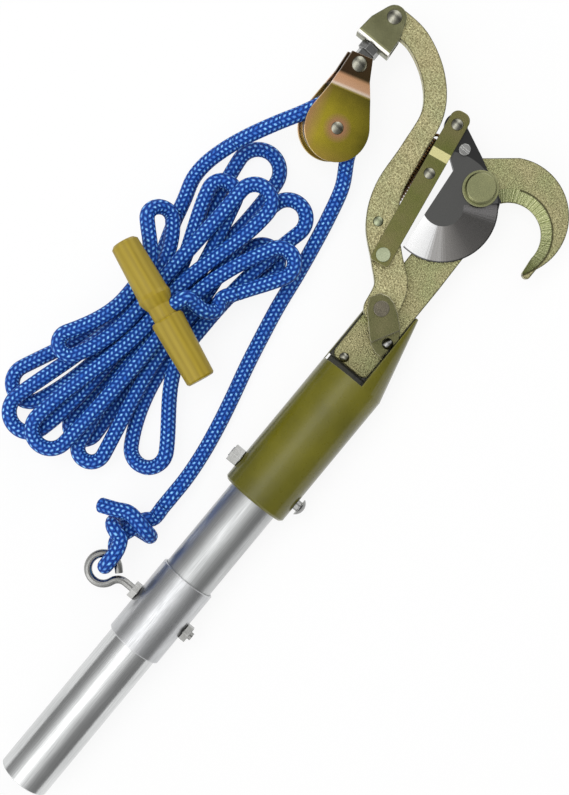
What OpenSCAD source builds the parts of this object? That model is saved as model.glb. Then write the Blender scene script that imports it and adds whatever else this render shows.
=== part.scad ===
// Rope-worked tree pruner head on a short two-piece pole, lying flat.
// Origin: centre of the lower tube's open mouth. +Y runs up the pole to the head,
// +Z is the normal of the cutting plane, +X is to the right of the pole. Millimetres.

/* [Pole] */
// Outside diameter of both tubes
pole_od = 31.75; // [25:0.25:40]
// Wall of the lower tube
lower_wall = 1.6; // [1:0.1:3]
// Wall of the upper tube
upper_wall = 2.0; // [1.2:0.1:3]
// Length of the lower tube, from its open mouth to the joint
lower_len = 117; // [100:1:400]
// Length of the upper tube
upper_len = 177; // [140:1:400]
// Wall of the joint sleeve
sleeve_wall = 1.6; // [1:0.1:4]
// Length of the joint sleeve
sleeve_len = 50; // [40:1:90]
// How far the sleeve reaches over the upper tube
sleeve_over = 33.5; // [22:0.5:45]

/* [Eye hook] */
// Rod diameter of the eye hook
eye_rod = 4.8; // [3.5:0.1:6]
// Inside radius of the eye
eye_in_r = 6.5; // [5.5:0.1:9]
// Height of the eye hook above the joint
eye_up = 8; // [6:0.5:14]
// Width across the flats of the small nuts
small_nut_af = 9.5; // [8:0.5:12]

/* [Adapter] */
// Wall of the cast socket
adapter_wall = 5.1; // [3:0.1:8]
// Length of the round socket
socket_len = 90; // [70:1:130]
// How far the plate seat reaches past the socket
seat_len = 52; // [46:1:70]
// Diameter of the cross bolt
cross_bolt_d = 6.3; // [4:0.1:8]
// Distance of the cross bolt from the socket's mouth
cross_bolt_in = 13.5; // [10:0.5:30]

/* [Cutting head] */
// Thickness of the hook plate
plate_t = 5; // [4:0.1:8]
// Width of the plate's shank
shank_w = 25; // [22:0.5:32]
// Distance between the lever pivot and the blade pivot
pivot_gap = 90.5; // [86:0.5:100]
// Thickness of the blade
blade_t = 4; // [3:0.1:5]
// Thickness of the lever
lever_t = 6.5; // [5:0.1:9]
// Width of the lever bar at its waist
lever_w = 13; // [10:0.5:15]
// Thickness of the strap, bridge and clevis sheet
sheet_t = 2.5; // [1.5:0.1:3]
// Width of the link strap
strap_w = 12; // [10:0.5:14]
// Diameter of the lever pivot bolt
lever_bolt_d = 8; // [6:0.1:9]
// Diameter of the blade pivot bolt
blade_bolt_d = 10; // [7:0.1:12]
// Diameter of the blade pivot bolt's round head
blade_head_d = 18.4; // [15:0.1:22]
// Diameter of the link rivets
rivet_d = 5; // [4:0.1:6]
// Wire diameter of the return spring
spring_wire = 1.8; // [0.8:0.1:1.9]

/* [Pulley] */
// Radius of the cheeks' round end
cheek_r = 19.5; // [17:0.5:24]
// Thickness of a cheek
cheek_t = 1.8; // [1.2:0.1:2.5]
// Distance from the block rivet to the sheave's axle
block_len = 38.5; // [34:0.5:50]
// Diameter of the sheave's axle
axle_d = 6; // [4:0.1:8]
// Turn of the block about its stud
block_swivel = 18; // [0:1:30]
// Swing of the block about its rivet
block_swing = 20; // [0:1:30]

/* [Rope] */
// Diameter of the rope
rope_d = 9; // [7:0.1:9.4]
// Length of the handle
handle_len = 90; // [70:1:120]
// Diameter of the handle at its shoulders
handle_d = 20; // [17:0.5:26]

/* [Hidden] */
$fn = 48;
eps = 0.01;

// Clearances: running fit, free gap between moving pieces, fixed fit, end gap between ropes
run = 0.05;
gap = 0.3;
fit = 0.05;
butt = 0.1;

// Pole layout along Y
joint_y = lower_len;
upper_y0 = joint_y + 0.5;
upper_y1 = upper_y0 + upper_len;
pole_r = pole_od / 2;
sleeve_y1 = joint_y + sleeve_over;
sleeve_y0 = sleeve_y1 - sleeve_len;
sleeve_r = pole_r + fit + sleeve_wall;
eye_y = joint_y + eye_up;
eye_r = eye_in_r + eye_rod / 2;
eye_bend_r = 7;
eye_drop = 2;
nut_h = 4;
eye_reach = sleeve_r + nut_h + 5.2;
eye_c = [-eye_reach - sqrt(pow(eye_bend_r + eye_r, 2) - pow(eye_bend_r - eye_drop, 2)), eye_y - eye_drop];
eye_join_a = -asin((eye_bend_r - eye_drop) / (eye_bend_r + eye_r));
eye_tip_a = 45;

// Adapter layout
adapter_r = pole_r + fit + adapter_wall;
socket_y1 = upper_y1 + 5.5;
socket_y0 = socket_y1 - socket_len;
cross_y = socket_y0 + cross_bolt_in;
seat_y1 = socket_y1 + seat_len;
floor_z = -adapter_r;
cross_head_d = 11;
cross_head_h = 3.2;
cross_head_off = 2.4;
cross_nut_af = 10.5;
cross_nut_h = 6.5;
cross_end = cross_nut_h + 0.5;

// Layers of the cutting head along Z
plate_z0 = -plate_t / 2;
plate_z1 = plate_t / 2;
work_z = plate_z1 + gap;
blade_z1 = work_z + blade_t;
lever_z1 = work_z + lever_t;
over_lever_z = lever_z1 + gap;
over_blade_z = blade_z1 + gap;
cover_z1 = over_lever_z + sheet_t;
lever_mid_z = (work_z + lever_z1) / 2;

// Pivots in the cutting plane
head_y = socket_y1 + 42;
lever_p = [-13.5, head_y];
blade_p = lever_p + [0, pivot_gap];
link_lo = lever_p + [-19, 24.5];
link_hi = blade_p + [-34, 19.5];
clevis_p = lever_p + [-101, 134];
link_v = link_hi - link_lo;
link_len = norm(link_v);
link_a = atan2(link_v[1], link_v[0]);
lever_pin_r = lever_bolt_d / 2;
blade_pin_r = blade_bolt_d / 2;
rivet_r = rivet_d / 2;
shank_x0 = -19.3;
shank_x1 = shank_x0 + shank_w;
shank_y0 = socket_y1 + 4.5;

// Travel of the link's blade rivet inside the blade's slot
slot_a = 110;
slot_mid = [-0.6, 0.75];
slot_half = 2.3;
slot_side = 0.6;

// Return spring, behind the lever: its coil stands in the gap beside the link
spring_lo = lever_p + [-33.5, 38];
coil_lo = lever_p + [-33, 45];
coil_hi = lever_p + [-39, 98];
post_s = link_len * 0.62;
spring_hi = link_lo + post_s * [cos(link_a), sin(link_a)];
post_r = 1.8;
spring_r = 2.6;
spring_z = work_z - gap - spring_r - spring_wire / 2;
spring_curls = 22;

// Pulley layout
clevis_w = 23;
clevis_in = 17.5;
clevis_r = 7;
clevis_y0 = clevis_p[1] - clevis_in - sheet_t;
stud_r = 2.2;
stud_head_r = 3.2;
stud_nut_af = 11;
stud_nut_h = 4.6;
eye_plate_t = 7;
block_y = clevis_y0 - 13.5;
groove_slack = 0.3;
rope_r = rope_d / 2;
sheave_groove_r = rope_r + groove_slack;
sheave_rope_r = 15.5;
sheave_r = sheave_rope_r + 1.8;
sheave_w = 2 * sheave_groove_r + 2.8;
cheek_gap = sheave_w + 2 * gap;
axle_r = axle_d / 2;
turn_a0 = -8;
turn_a1 = 135;

// Places a point of the block's own frame (origin on its rivet) in the part's frame
function turn_z(p, a) = [p[0] * cos(a) - p[1] * sin(a), p[0] * sin(a) + p[1] * cos(a), p[2]];
function turn_y(p, a) = [p[0] * cos(a) + p[2] * sin(a), p[1], -p[0] * sin(a) + p[2] * cos(a)];
function block_dir(v) = turn_y(turn_z(v, block_swing), block_swivel);
function block_pt(p) = [clevis_p[0], block_y, lever_mid_z] + block_dir(p);
function turn_pt(a) = block_pt([sheave_rope_r * cos(a), -block_len + sheave_rope_r * sin(a), 0]);
function turn_dir(a) = block_dir([sin(a), -cos(a), 0]);

// Hank: staggered layers of strands, gathered at the waist, that fan out into loops
hank_c = [-110, 262];
hank_slots = 5;
hank_pitch = rope_d + 0.9;
hank_layer = rope_d + 0.6;
hank_waist = 8;
hank_z = floor_z + rope_r;
hank_top_z = hank_z + 2 * hank_layer + rope_r;
hank_from = [-33, 50];
hank_from_a = 14;
// Its loops in the rope's order, below the waist and above it by turns:
// [slot in, slot out, layer in, layer out, lean to the right, reach to the loop's centre, loop radius]
hank_loops = [
    [1, 2, 0, 0, -23, 92, 11], [2, 3, 0, 0, -7, 100, 13], [3, 4, 0, 0, 3, 84, 8.5], [4, 5, 0, 0, 22, 64, 10],
    [5, 5, 0, 1, 32, 82, 11], [5, 4, 1, 1, 13, 90, 11], [4, 3, 1, 1, 11, 92, 8], [3, 2, 1, 1, -14, 76, 8.5],
    [2, 1, 1, 1, -14, 100, 12], [1, 1, 1, 2, -43, 54, 7], [1, 2, 2, 2, -31, 58, 7], [2, 3, 2, 2, 0, 82, 10],
    [3, 4, 2, 2, -4, 96, 11], [4, 5, 2, 2, 28, 72, 9]];
fold_steps = 6;
leg_steps = 4;

// Handle, lying across the hank's waist
handle_c = [-109, 261, hank_top_z + gap + handle_d / 2];
handle_a = -21;
handle_end_r = 8.3;
handle_waist_r = 7.4;
handle_waist_w = 9;
handle_hole = 6;
handle_in = [sin(-handle_a), cos(-handle_a), 0];

// Routes of the free rope, chosen by hand
knot_stand = [-45.5, -5.5];
knot_lean = 0.25;
knot_top = [-38, 172, -8.5];
turn_out = turn_pt(turn_a0);
turn_back = turn_pt(turn_a1);
fall_route = concat(
    [turn_out + butt * turn_dir(turn_a0), turn_out + rope_d * turn_dir(turn_a0)],
    [[-77, 385, -8], [-72, 367, -11.5], [-68, 347.5, -14], [-64.5, 327.5, -16], [-61.5, 307, -16.4],
     [-57.5, 287, -16.4], [-53, 267, -16.4], [-48, 248, -16.4], [-43.5, 229, -16], [-40, 210, -14],
     [-38.2, 193, -11]],
    [knot_top + [0, rope_d, 0], knot_top + [0, butt, 0]]);
hank_start = hank_path()[0];
hank_in = unit(hank_path()[1] - hank_start);
lead_route = concat(
    [turn_back - butt * turn_dir(turn_a1), turn_back - 1.6 * rope_d * turn_dir(turn_a1)],
    [[-128.5, 387, 6.5], [-137, 372, 1.5], [-144, 358, -6], [-148.5, 344, -12.5], [-149, 333, -16]],
    [hank_start - rope_d * hank_in, hank_start - butt * hank_in]);
wrap_end = handle_c + (handle_waist_r - 4) * handle_in;

// Geometry helpers
function unit(v) = v / norm(v);
function smooth(t) = let (c = max(0, min(1, t))) c * c * (3 - 2 * c);
function arc(c, r, a0, a1, n) = [for (i = [0:n]) let (a = a0 + (a1 - a0) * i / n) c + r * [cos(a), sin(a)]];
function spline(a, b, c, d, t) =
    0.5 * (2 * b + (c - a) * t + (2 * a - 5 * b + 4 * c - d) * t * t + (3 * b - a - 3 * c + d) * t * t * t);
function curve(p, n) = let (m = len(p) - 1) concat([for (i = [0:m - 1]) for (k = [0:n - 1])
    spline(p[max(i - 1, 0)], p[i], p[i + 1], p[min(i + 2, m)], k / n)], [p[m]]);
function tangents(p) = let (m = len(p) - 1) [for (i = [0:m]) unit(p[min(i + 1, m)] - p[max(i - 1, 0)])];
function square_to(v, t) = unit(v - (v * t) * t);
function length_of(p) = let (m = len(p) - 1) [for (i = 0, s = 0; i <= m; i = i + 1,
    s = s + (i <= m ? norm(p[i] - p[i - 1]) : 0)) s][m];

// A round tube of triangles along a path, with square ends
module tube(path, r, sides) {
    t = tangents(path);
    m = len(path);
    side = abs(t[0][2]) < 0.9 ? [0, 0, 1] : [1, 0, 0];
    normals = [for (i = 0, n = square_to(side, t[0]); i < m; i = i + 1, n = i < m ? square_to(n, t[i]) : n) n];
    points = [for (i = [0:m - 1]) let (b = cross(t[i], normals[i])) for (j = [0:sides - 1])
        path[i] + r * (cos(360 * j / sides) * normals[i] + sin(360 * j / sides) * b)];
    walls = [for (i = [0:m - 2]) for (j = [0:sides - 1])
        let (a = i * sides + j, b = i * sides + (j + 1) % sides) each [[a, a + sides, b], [b, a + sides, b + sides]]];
    first = [for (j = [1:sides - 2]) [0, j, j + 1]];
    last = [for (j = [1:sides - 2]) let (o = (m - 1) * sides) [o, o + j + 1, o + j]];
    polyhedron(points, concat(walls, first, last));
}

// A bar whose centre line passes the given [x, y, half width] stations
module ribbon(stations, n) {
    s = curve(stations, n);
    xy = [for (p = s) [p[0], p[1]]];
    t = tangents(xy);
    left = [for (i = [0:len(s) - 1]) xy[i] + s[i][2] * [-t[i][1], t[i][0]]];
    right = [for (i = [len(s) - 1:-1:0]) xy[i] - s[i][2] * [-t[i][1], t[i][0]]];
    polygon(concat(left, right));
}

module at(p, z) { translate([p[0], p[1], z]) children(); }
module along_y() { rotate([-90, 0, 0]) children(); }
module along_x() { rotate([0, 90, 0]) children(); }
module hex(af, h) { cylinder(h = h, d = af / cos(30), $fn = 6); }
module pipe(r_out, r_in, y0, y1, edge) {
    translate([0, y0, 0]) along_y() rotate_extrude() polygon([
        [r_in, edge], [r_in + edge, 0], [r_out - edge, 0], [r_out, edge],
        [r_out, y1 - y0 - edge], [r_out - edge, y1 - y0], [r_in + edge, y1 - y0], [r_in, y1 - y0 - edge]]);
}
// A rivet head: a low turned dome of radius r and height h
module dome(r, h) {
    ball = (r * r + h * h) / (2 * h);
    intersection() {
        translate([0, 0, h - ball]) sphere(ball);
        cylinder(h = h, r = r + 1);
    }
}

// Pole
module lower_tube() { color("lightgray") pipe(pole_r, pole_r - lower_wall, 0, joint_y, 0.4); }

module upper_tube() {
    color("silver") difference() {
        pipe(pole_r, pole_r - upper_wall, upper_y0, upper_y1, 0.4);
        translate([-pole_od, eye_y, 0]) along_x() cylinder(h = 2 * pole_od, r = eye_rod / 2 + fit);
        translate([-pole_od, cross_y, 0]) along_x() cylinder(h = 2 * pole_od, r = cross_bolt_d / 2 + fit);
    }
}

module joint_sleeve() {
    color("gainsboro") difference() {
        pipe(sleeve_r, pole_r + fit, sleeve_y0, sleeve_y1, 0.5);
        translate([-pole_od, eye_y, 0]) along_x() cylinder(h = 2 * pole_od, r = eye_rod / 2 + fit);
    }
}

// Eye hook: a rod that bends down, then round into an open eye
function eye_path() = let (
    bend = [for (a = arc([-eye_reach, eye_y - eye_bend_r], eye_bend_r, 90, 180 + eye_join_a, 6)) [a[0], a[1], 0]],
    ring = [for (a = arc(eye_c, eye_r, eye_join_a, eye_tip_a - 360, 30)) [a[0], a[1], 0]],
    tip = ring[30] + 3.5 * [sin(eye_tip_a), -cos(eye_tip_a), 0])
    concat([[sleeve_r + nut_h + 2, eye_y, 0]], bend, [for (i = [1:30]) ring[i]], [tip]);
module eye_hook_bolt() { color("silver") tube(eye_path(), eye_rod / 2, 12); }

module small_nut(x) {
    difference() {
        translate([x, eye_y, 0]) along_x() hex(small_nut_af, nut_h);
        translate([x - 1, eye_y, 0]) along_x() cylinder(h = nut_h + 2, r = eye_rod / 2 + fit);
    }
}
module eye_jam_nut() { color("silver") small_nut(-sleeve_r - nut_h); }
module eye_end_nut() { color("silver") small_nut(sleeve_r); }

// Adapter: round socket whose far end tapers into a seat for the plate
module adapter_blank() {
    translate([0, socket_y0, 0]) along_y() rotate_extrude() polygon([
        [0, 0], [adapter_r - 1.4, 0], [adapter_r, 1.4], [adapter_r, socket_len], [0, socket_len]]);
    hull() {
        translate([0, socket_y1 - 14, 0]) along_y() cylinder(h = 14, r = adapter_r);
        translate([shank_x0 + 2.5, seat_y1 - 1, plate_z0 - 3.5]) along_y() cylinder(h = 1, r = 4.5, $fn = 24);
        translate([shank_x1 - 2, seat_y1 - 1, plate_z0]) along_y() cylinder(h = 1, r = 4, $fn = 24);
    }
}

module head_adapter() {
    seat_top = 2 * adapter_r;
    seat_side = 1.1;
    pocket = 7;
    color("olivedrab") difference() {
        adapter_blank();
        translate([0, socket_y0 - 1, 0]) along_y() cylinder(h = upper_y1 + 1 - socket_y0 + 1, r = pole_r + fit);
        translate([shank_x0 - seat_side, socket_y1, plate_z0])
            cube([shank_w + seat_side + gap, seat_len + 1, seat_top]);
        translate([shank_x0 - seat_side, socket_y1, plate_z0 - pocket])
            cube([shank_w + seat_side + gap, shank_y0 - socket_y1 - gap, seat_top]);
        translate([-seat_top, socket_y1, plate_z1 - 0.6]) cube([seat_top + shank_x1, seat_len + 1, seat_top]);
        translate([-seat_top, cross_y, 0]) along_x() cylinder(h = 2 * seat_top, r = cross_bolt_d / 2 + fit);
        at(lever_p, -seat_top) cylinder(h = seat_top, r = lever_pin_r + fit);
        at(lever_p, -seat_top) cylinder(h = seat_top + plate_z0 - 8, r = 9.5);
        at(bridge_screw_p(), plate_z0 - 5) cylinder(h = 6, r = 2 + fit);
        at(tail_rivet_p(), plate_z0 - 5) cylinder(h = 6, r = 2 + fit);
    }
}

module adapter_bolt() {
    color("silver") translate([0, cross_y, 0]) {
        translate([-adapter_r - cross_end, 0, 0]) along_x()
            cylinder(h = 2 * adapter_r + cross_end + cross_head_off + 1, d = cross_bolt_d);
        translate([adapter_r + cross_head_off, 0, 0]) along_x() dome(cross_head_d / 2, cross_head_h);
    }
}
module adapter_nut() {
    color("silver") translate([-adapter_r - cross_nut_h, cross_y, 0]) along_x() difference() {
        hex(cross_nut_af, cross_nut_h);
        translate([0, 0, -1]) cylinder(h = cross_nut_h + 2, r = cross_bolt_d / 2 + fit);
    }
}

// Hook plate: shank, pivot hub and beak with a ground inner bevel
function bridge_screw_p() = [shank_x1 - 3.4, lever_p[1] - 12.7];
function tail_rivet_p() = [shank_x0 + 7.3, shank_y0 + 3];
hub_r = 18.5;
hook_out = blade_p + [23.5, -0.5];
hook_out_r = 34.5;
hook_in = blade_p + [30, -8.5];
hook_in_r = 19;
hook_tip = blade_p + [52.7, -19.9];
hook_tip_r = 2.7;
bevel_w = 6.8;
bevel_deep = 4;

module hook_outline() {
    corner = 4;
    polygon(concat(
        arc([shank_x0 + corner, shank_y0 + corner], corner, 180, 270, 6),
        arc([shank_x1 - corner, shank_y0 + corner], corner, 270, 360, 6),
        [[shank_x1 - 0.4, blade_p[1] - 60], [shank_x1 - 1.6, blade_p[1] - 22]],
        arc(hook_in, hook_in_r, 150, -6, 26),
        arc(hook_tip, hook_tip_r, 190, 330, 8),
        arc(hook_out, hook_out_r, -24, 120, 32),
        arc(blade_p, hub_r, 128, 196, 12),
        [[shank_x0 - 1.4, blade_p[1] - 34]]));
}

module hook_plate() {
    color("darkkhaki") difference() {
        translate([0, 0, plate_z0]) linear_extrude(plate_t) hook_outline();
        at(hook_in + [-1, 0], plate_z1) rotate([0, 0, -32]) rotate_extrude(angle = 178) polygon([
            [hook_in_r - 4, eps], [hook_in_r + bevel_w, eps], [hook_in_r, -bevel_deep], [hook_in_r - 4, -bevel_deep]]);
        at(blade_p, plate_z0 - 1) cylinder(h = plate_t + 2, r = blade_pin_r + fit);
        at(lever_p, plate_z0 - 1) cylinder(h = plate_t + 2, r = lever_pin_r + fit);
        at(bridge_screw_p(), plate_z0 - 1) cylinder(h = plate_t + 2, r = 2 + fit);
        at(tail_rivet_p(), plate_z0 - 1) cylinder(h = plate_t + 2, r = 2 + fit);
    }
}

module tail_rivet() {
    color("gray") at(tail_rivet_p(), 0) {
        translate([0, 0, plate_z0 - 4.8]) cylinder(h = plate_t + 4.8, r = 2);
        translate([0, 0, plate_z1]) dome(3, 1.4);
    }
}

// Keeper bridge: foot on the plate, a step, and a nose over the lever. Its frame has x along the fold.
fold_a = 62;
fold_off = lever_bolt_d / 2 + 9;
bridge_nose = 8.5;
bridge_foot = 13;
module pivot_bridge() {
    half = 14;
    back = -fold_off - bridge_foot;
    color("olive") difference() {
        at(lever_p, 0) rotate([0, 0, fold_a]) intersection() {
            translate([-half, 0, 0]) rotate([90, 0, 90]) linear_extrude(2 * half) polygon([
                [bridge_nose, over_lever_z], [bridge_nose, cover_z1], [-fold_off - sheet_t, cover_z1],
                [-fold_off - sheet_t, plate_z1 + sheet_t], [back, plate_z1 + sheet_t],
                [back, plate_z1], [-fold_off, plate_z1], [-fold_off, over_lever_z]]);
            linear_extrude(cover_z1 + 1) polygon([
                [3, bridge_nose], [6.5, 5], [8, 0.5], [7.5, -6.7], [6, -fold_off], [5, -fold_off - 4.5],
                [3, -fold_off - 7.5], [-10.4, back], [-12.4, -fold_off - 9], [-13, -fold_off - 4],
                [-12.6, -fold_off], [-8, 2.2], [-4, bridge_nose]]);
        }
        at(lever_p, over_lever_z - 1) cylinder(h = sheet_t + 2, r = lever_pin_r + fit);
        at(bridge_screw_p(), plate_z1 - 1) cylinder(h = sheet_t + 2, r = 2 + fit);
    }
}

module bridge_screw() {
    color("silver") at(bridge_screw_p(), 0) {
        translate([0, 0, plate_z0 - 4.8]) cylinder(h = plate_t + 4.8 + sheet_t, r = 2);
        translate([0, 0, plate_z1 + sheet_t]) dome(3.4, 2.2);
    }
}

module lever_pivot_bolt() {
    color("dimgray") at(lever_p, 0) {
        translate([0, 0, plate_z0 - 14]) cylinder(h = cover_z1 + 14 - plate_z0, r = lever_pin_r);
        translate([0, 0, cover_z1]) cylinder(h = 1.3, r = lever_pin_r + 0.6);
    }
}
module lever_pivot_nut() {
    color("silver") at(lever_p, plate_z0 - 8 - 4.5) difference() {
        hex(13, 4.5);
        translate([0, 0, -1]) cylinder(h = 7, r = lever_pin_r + fit);
    }
}

// Blade pivot: round-headed bolt, washer and nut
washer_t = 1;
module blade_pivot_bolt() {
    color("darkkhaki") at(blade_p, 0) {
        translate([0, 0, plate_z0 - 8]) cylinder(h = blade_z1 + gap + washer_t + 8 - plate_z0, r = blade_pin_r);
        translate([0, 0, blade_z1 + gap + washer_t]) rotate_extrude() polygon([
            [0, 0], [blade_head_d / 2, 0], [blade_head_d / 2, 2.2], [blade_head_d / 2 - 0.9, 3.2], [0, 3.2]]);
    }
}
module blade_pivot_washer() {
    color("khaki") at(blade_p, blade_z1 + gap) difference() {
        cylinder(h = washer_t, d = blade_head_d + 3);
        translate([0, 0, -1]) cylinder(h = washer_t + 2, r = blade_pin_r + fit);
    }
}
module blade_pivot_nut() {
    color("silver") at(blade_p, plate_z0 - 6) difference() {
        hex(16, 6);
        translate([0, 0, -1]) cylinder(h = 8, r = blade_pin_r + fit);
    }
}

// Blade: round cutting edge with a wide ground bevel, and a tail for the link
edge_c = blade_p + [-10.5, -21.3];
edge_r = 32.6;
grind_r = 12;
edge_land = 0.8;
tail_r = 7;
blade_screw_p = blade_p + [-21.4, 11.4];
module blade_outline() {
    polygon(concat(
        arc(edge_c, edge_r, -94.5, 36, 40),
        [blade_p + [14, 2], blade_p + [-11, 14.8], blade_p + [-28, 22.3]],
        arc(link_hi, tail_r, 62, 246, 16),
        [blade_p + [-25, 2.8], blade_p + [-18.9, -1.4]]));
}
module blade() {
    past = 4;
    fall = (blade_t - edge_land) / (edge_r - grind_r) * (edge_r + past - grind_r);
    color("dimgray") difference() {
        translate([0, 0, work_z]) linear_extrude(blade_t) blade_outline();
        at(edge_c, blade_z1) rotate([0, 0, -200]) rotate_extrude(angle = 242) polygon([
            [grind_r, eps], [edge_r + past, eps], [edge_r + past, -fall], [grind_r, 0]]);
        at(blade_p, work_z - 1) cylinder(h = blade_t + 2, r = blade_pin_r + run);
        at(blade_screw_p, work_z - 1) cylinder(h = blade_t + 2, r = 2 + fit);
        at(link_hi + slot_mid, work_z - 1) rotate([0, 0, slot_a]) {
            for (s = [-1, 1]) translate([s * slot_half, 0, 0]) cylinder(h = blade_t + 2, r = rivet_r + slot_side);
            translate([-slot_half, -rivet_r - slot_side, 0])
                cube([2 * slot_half, 2 * (rivet_r + slot_side), blade_t + 2]);
        }
    }
}
module blade_screw() {
    color("silver") at(blade_screw_p, 0) {
        translate([0, 0, work_z]) cylinder(h = blade_t, r = 2);
        translate([0, 0, blade_z1]) difference() {
            cylinder(h = 1.8, r = 3.4);
            translate([-5, -0.5, 0.8]) cube([10, 1, 2]);
        }
    }
}

// Lever: an S-shaped bar from the pivot to the pulley
module lever_outline() {
    w = lever_w / 2;
    ribbon([[clevis_p[0], clevis_p[1], w + 1], [lever_p[0] - 82.5, lever_p[1] + 133.3, w + 0.4],
        [lever_p[0] - 62.5, lever_p[1] + 123, w + 0.2], [lever_p[0] - 49, lever_p[1] + 106.5, w],
        [lever_p[0] - 44.5, lever_p[1] + 82, w + 0.3], [lever_p[0] - 40.5, lever_p[1] + 56, w + 1.7],
        [lever_p[0] - 31, lever_p[1] + 38.5, w + 2.8], [lever_p[0] - 16.5, lever_p[1] + 25.2, w + 2.6],
        [lever_p[0] - 4, lever_p[1] + 14, w + 3.2], [lever_p[0], lever_p[1], w + 3.5]], 7);
}
module pull_lever() {
    color("tan") difference() {
        translate([0, 0, work_z]) union() {
            linear_extrude(lever_t) lever_outline();
            at(lever_p, 0) cylinder(h = lever_t, r = lever_w / 2 + 3.5);
            at(clevis_p, 0) cylinder(h = lever_t, r = lever_w / 2 + 1);
        }
        at(lever_p, work_z - 1) cylinder(h = lever_t + 2, r = lever_pin_r + run);
        at(link_lo, work_z - 1) cylinder(h = lever_t + 2, r = rivet_r + run);
        at(clevis_p, work_z - 1) cylinder(h = lever_t + 2, r = rivet_r + run);
        at(spring_lo, work_z - 1) cylinder(h = lever_t + 2, r = post_r + fit);
    }
}
module spring_rivet() {
    color("gray") at(spring_lo, 0) {
        translate([0, 0, spring_z - 3]) cylinder(h = lever_z1 + 3 - spring_z, r = post_r);
        translate([0, 0, lever_z1]) dome(3, 0.9);
    }
}

// Return spring: curls with a short end at the lever's post and an end that bends back to the link's
function spring_path() = let (
    u = unit([coil_hi[0] - coil_lo[0], coil_hi[1] - coil_lo[1], 0]), v = [-u[1], u[0], 0],
    base = [coil_lo[0], coil_lo[1], spring_z], tip = [coil_hi[0], coil_hi[1], spring_z],
    post_lo = [spring_lo[0], spring_lo[1], spring_z], post_hi = [spring_hi[0], spring_hi[1], spring_z],
    clear = post_r + gap + spring_wire / 2, back = tip + 1.5 * u - (spring_r + 2.5) * v)
    concat([post_lo + clear * unit(base - post_lo), base - 1.5 * u],
        [for (k = [0:8 * spring_curls]) base + (tip - base) * k / (8 * spring_curls)
            + spring_r * (cos(45 * k) * v + sin(45 * k) * [0, 0, 1])],
        [tip + 2.5 * u, back, post_hi + clear * unit(back - post_hi)]);
module return_spring() { color("saddlebrown") tube(spring_path(), spring_wire / 2, 6); }

// Link: strap with a step down from the lever to the blade
module link_strap() {
    low_end = 5.5;
    high_end = strap_w / 2 + 2;
    step_s = link_len * 0.73;
    ramp = 6;
    color("olive") difference() {
        at(link_lo, 0) rotate([0, 0, link_a]) intersection() {
            translate([0, strap_w, 0]) rotate([90, 0, 0]) linear_extrude(2 * strap_w) polygon([
                [-low_end, over_lever_z], [step_s, over_lever_z], [step_s + ramp, over_blade_z],
                [link_len + high_end, over_blade_z], [link_len + high_end, over_blade_z + sheet_t],
                [step_s + ramp, over_blade_z + sheet_t], [step_s, cover_z1], [-low_end, cover_z1]]);
            linear_extrude(cover_z1 + 1) polygon(concat(
                arc([-low_end + 2, -strap_w / 2 + 2], 2, 180, 270, 4),
                arc([link_len + high_end - 5, -strap_w / 2 + 5], 5, 270, 360, 6),
                arc([link_len + high_end - 5, strap_w / 2 - 5], 5, 0, 90, 6),
                arc([-low_end + 2, strap_w / 2 - 2], 2, 90, 180, 4)));
        }
        at(link_lo, over_lever_z - 1) cylinder(h = sheet_t + 2, r = rivet_r + fit);
        at(link_hi, over_blade_z - 1) cylinder(h = sheet_t + 4, r = rivet_r + fit);
        at(spring_hi, over_lever_z - 1) cylinder(h = sheet_t + 2, r = post_r + fit);
    }
}
module lever_end_rivet() {
    color("gray") at(link_lo, 0) {
        translate([0, 0, work_z - gap]) cylinder(h = cover_z1 + gap - work_z, r = rivet_r);
        translate([0, 0, work_z - gap - 1.4]) cylinder(h = 1.4, r = rivet_r + 1.6);
        translate([0, 0, cover_z1]) cylinder(h = 1.3, r = rivet_r + 1.7);
    }
}
module blade_end_rivet() {
    color("gray") at(link_hi, 0) {
        translate([0, 0, work_z - gap]) cylinder(h = over_blade_z + sheet_t + gap - work_z, r = rivet_r);
        translate([0, 0, work_z - gap - 1.4]) cylinder(h = 1.4, r = rivet_r + slot_half + 1.2);
        translate([0, 0, over_blade_z + sheet_t]) dome(3.6, 1.8);
    }
}
module spring_post() {
    color("gray") at(spring_hi, 0) {
        translate([0, 0, spring_z - 3]) cylinder(h = cover_z1 + 3 - spring_z, r = post_r);
        translate([0, 0, cover_z1]) dome(3.4, 1.4);
    }
}

// Clevis: a bent strap whose ears straddle the lever's end
module clevis() {
    ear_z0 = work_z - gap - sheet_t;
    half = clevis_w / 2;
    color("gainsboro") difference() {
        intersection() {
            translate([clevis_p[0], 0, ear_z0]) linear_extrude(cover_z1 - ear_z0) union() {
                translate([0, clevis_p[1]]) circle(clevis_r);
                polygon([[-half, clevis_y0], [half, clevis_y0], [half - 1, clevis_p[1] - 8],
                    [clevis_r - 0.4, clevis_p[1] + 2.5], [0.4 - clevis_r, clevis_p[1] + 2.5],
                    [1 - half, clevis_p[1] - 8]]);
            }
            translate([clevis_p[0] - half - 1, 0, 0]) rotate([90, 0, 90]) linear_extrude(clevis_w + 2)
                polygon(concat(
                    [[clevis_p[1] + clevis_r + 1, cover_z1]],
                    arc([clevis_y0 + 3, cover_z1 - 3], 3, 90, 180, 5),
                    arc([clevis_y0 + 3, ear_z0 + 3], 3, 180, 270, 5),
                    [[clevis_p[1] + clevis_r + 1, ear_z0]]));
        }
        translate([clevis_p[0] - half - 1, clevis_y0 + sheet_t, work_z - gap])
            cube([clevis_w + 2, clevis_in + clevis_r + 2, lever_t + 2 * gap]);
        at(clevis_p, ear_z0 - 1) cylinder(h = cover_z1 - ear_z0 + 2, r = rivet_r + fit);
        translate([clevis_p[0], clevis_y0 - 1, lever_mid_z]) along_y() cylinder(h = sheet_t + 2, r = stud_r + run);
    }
}
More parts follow.
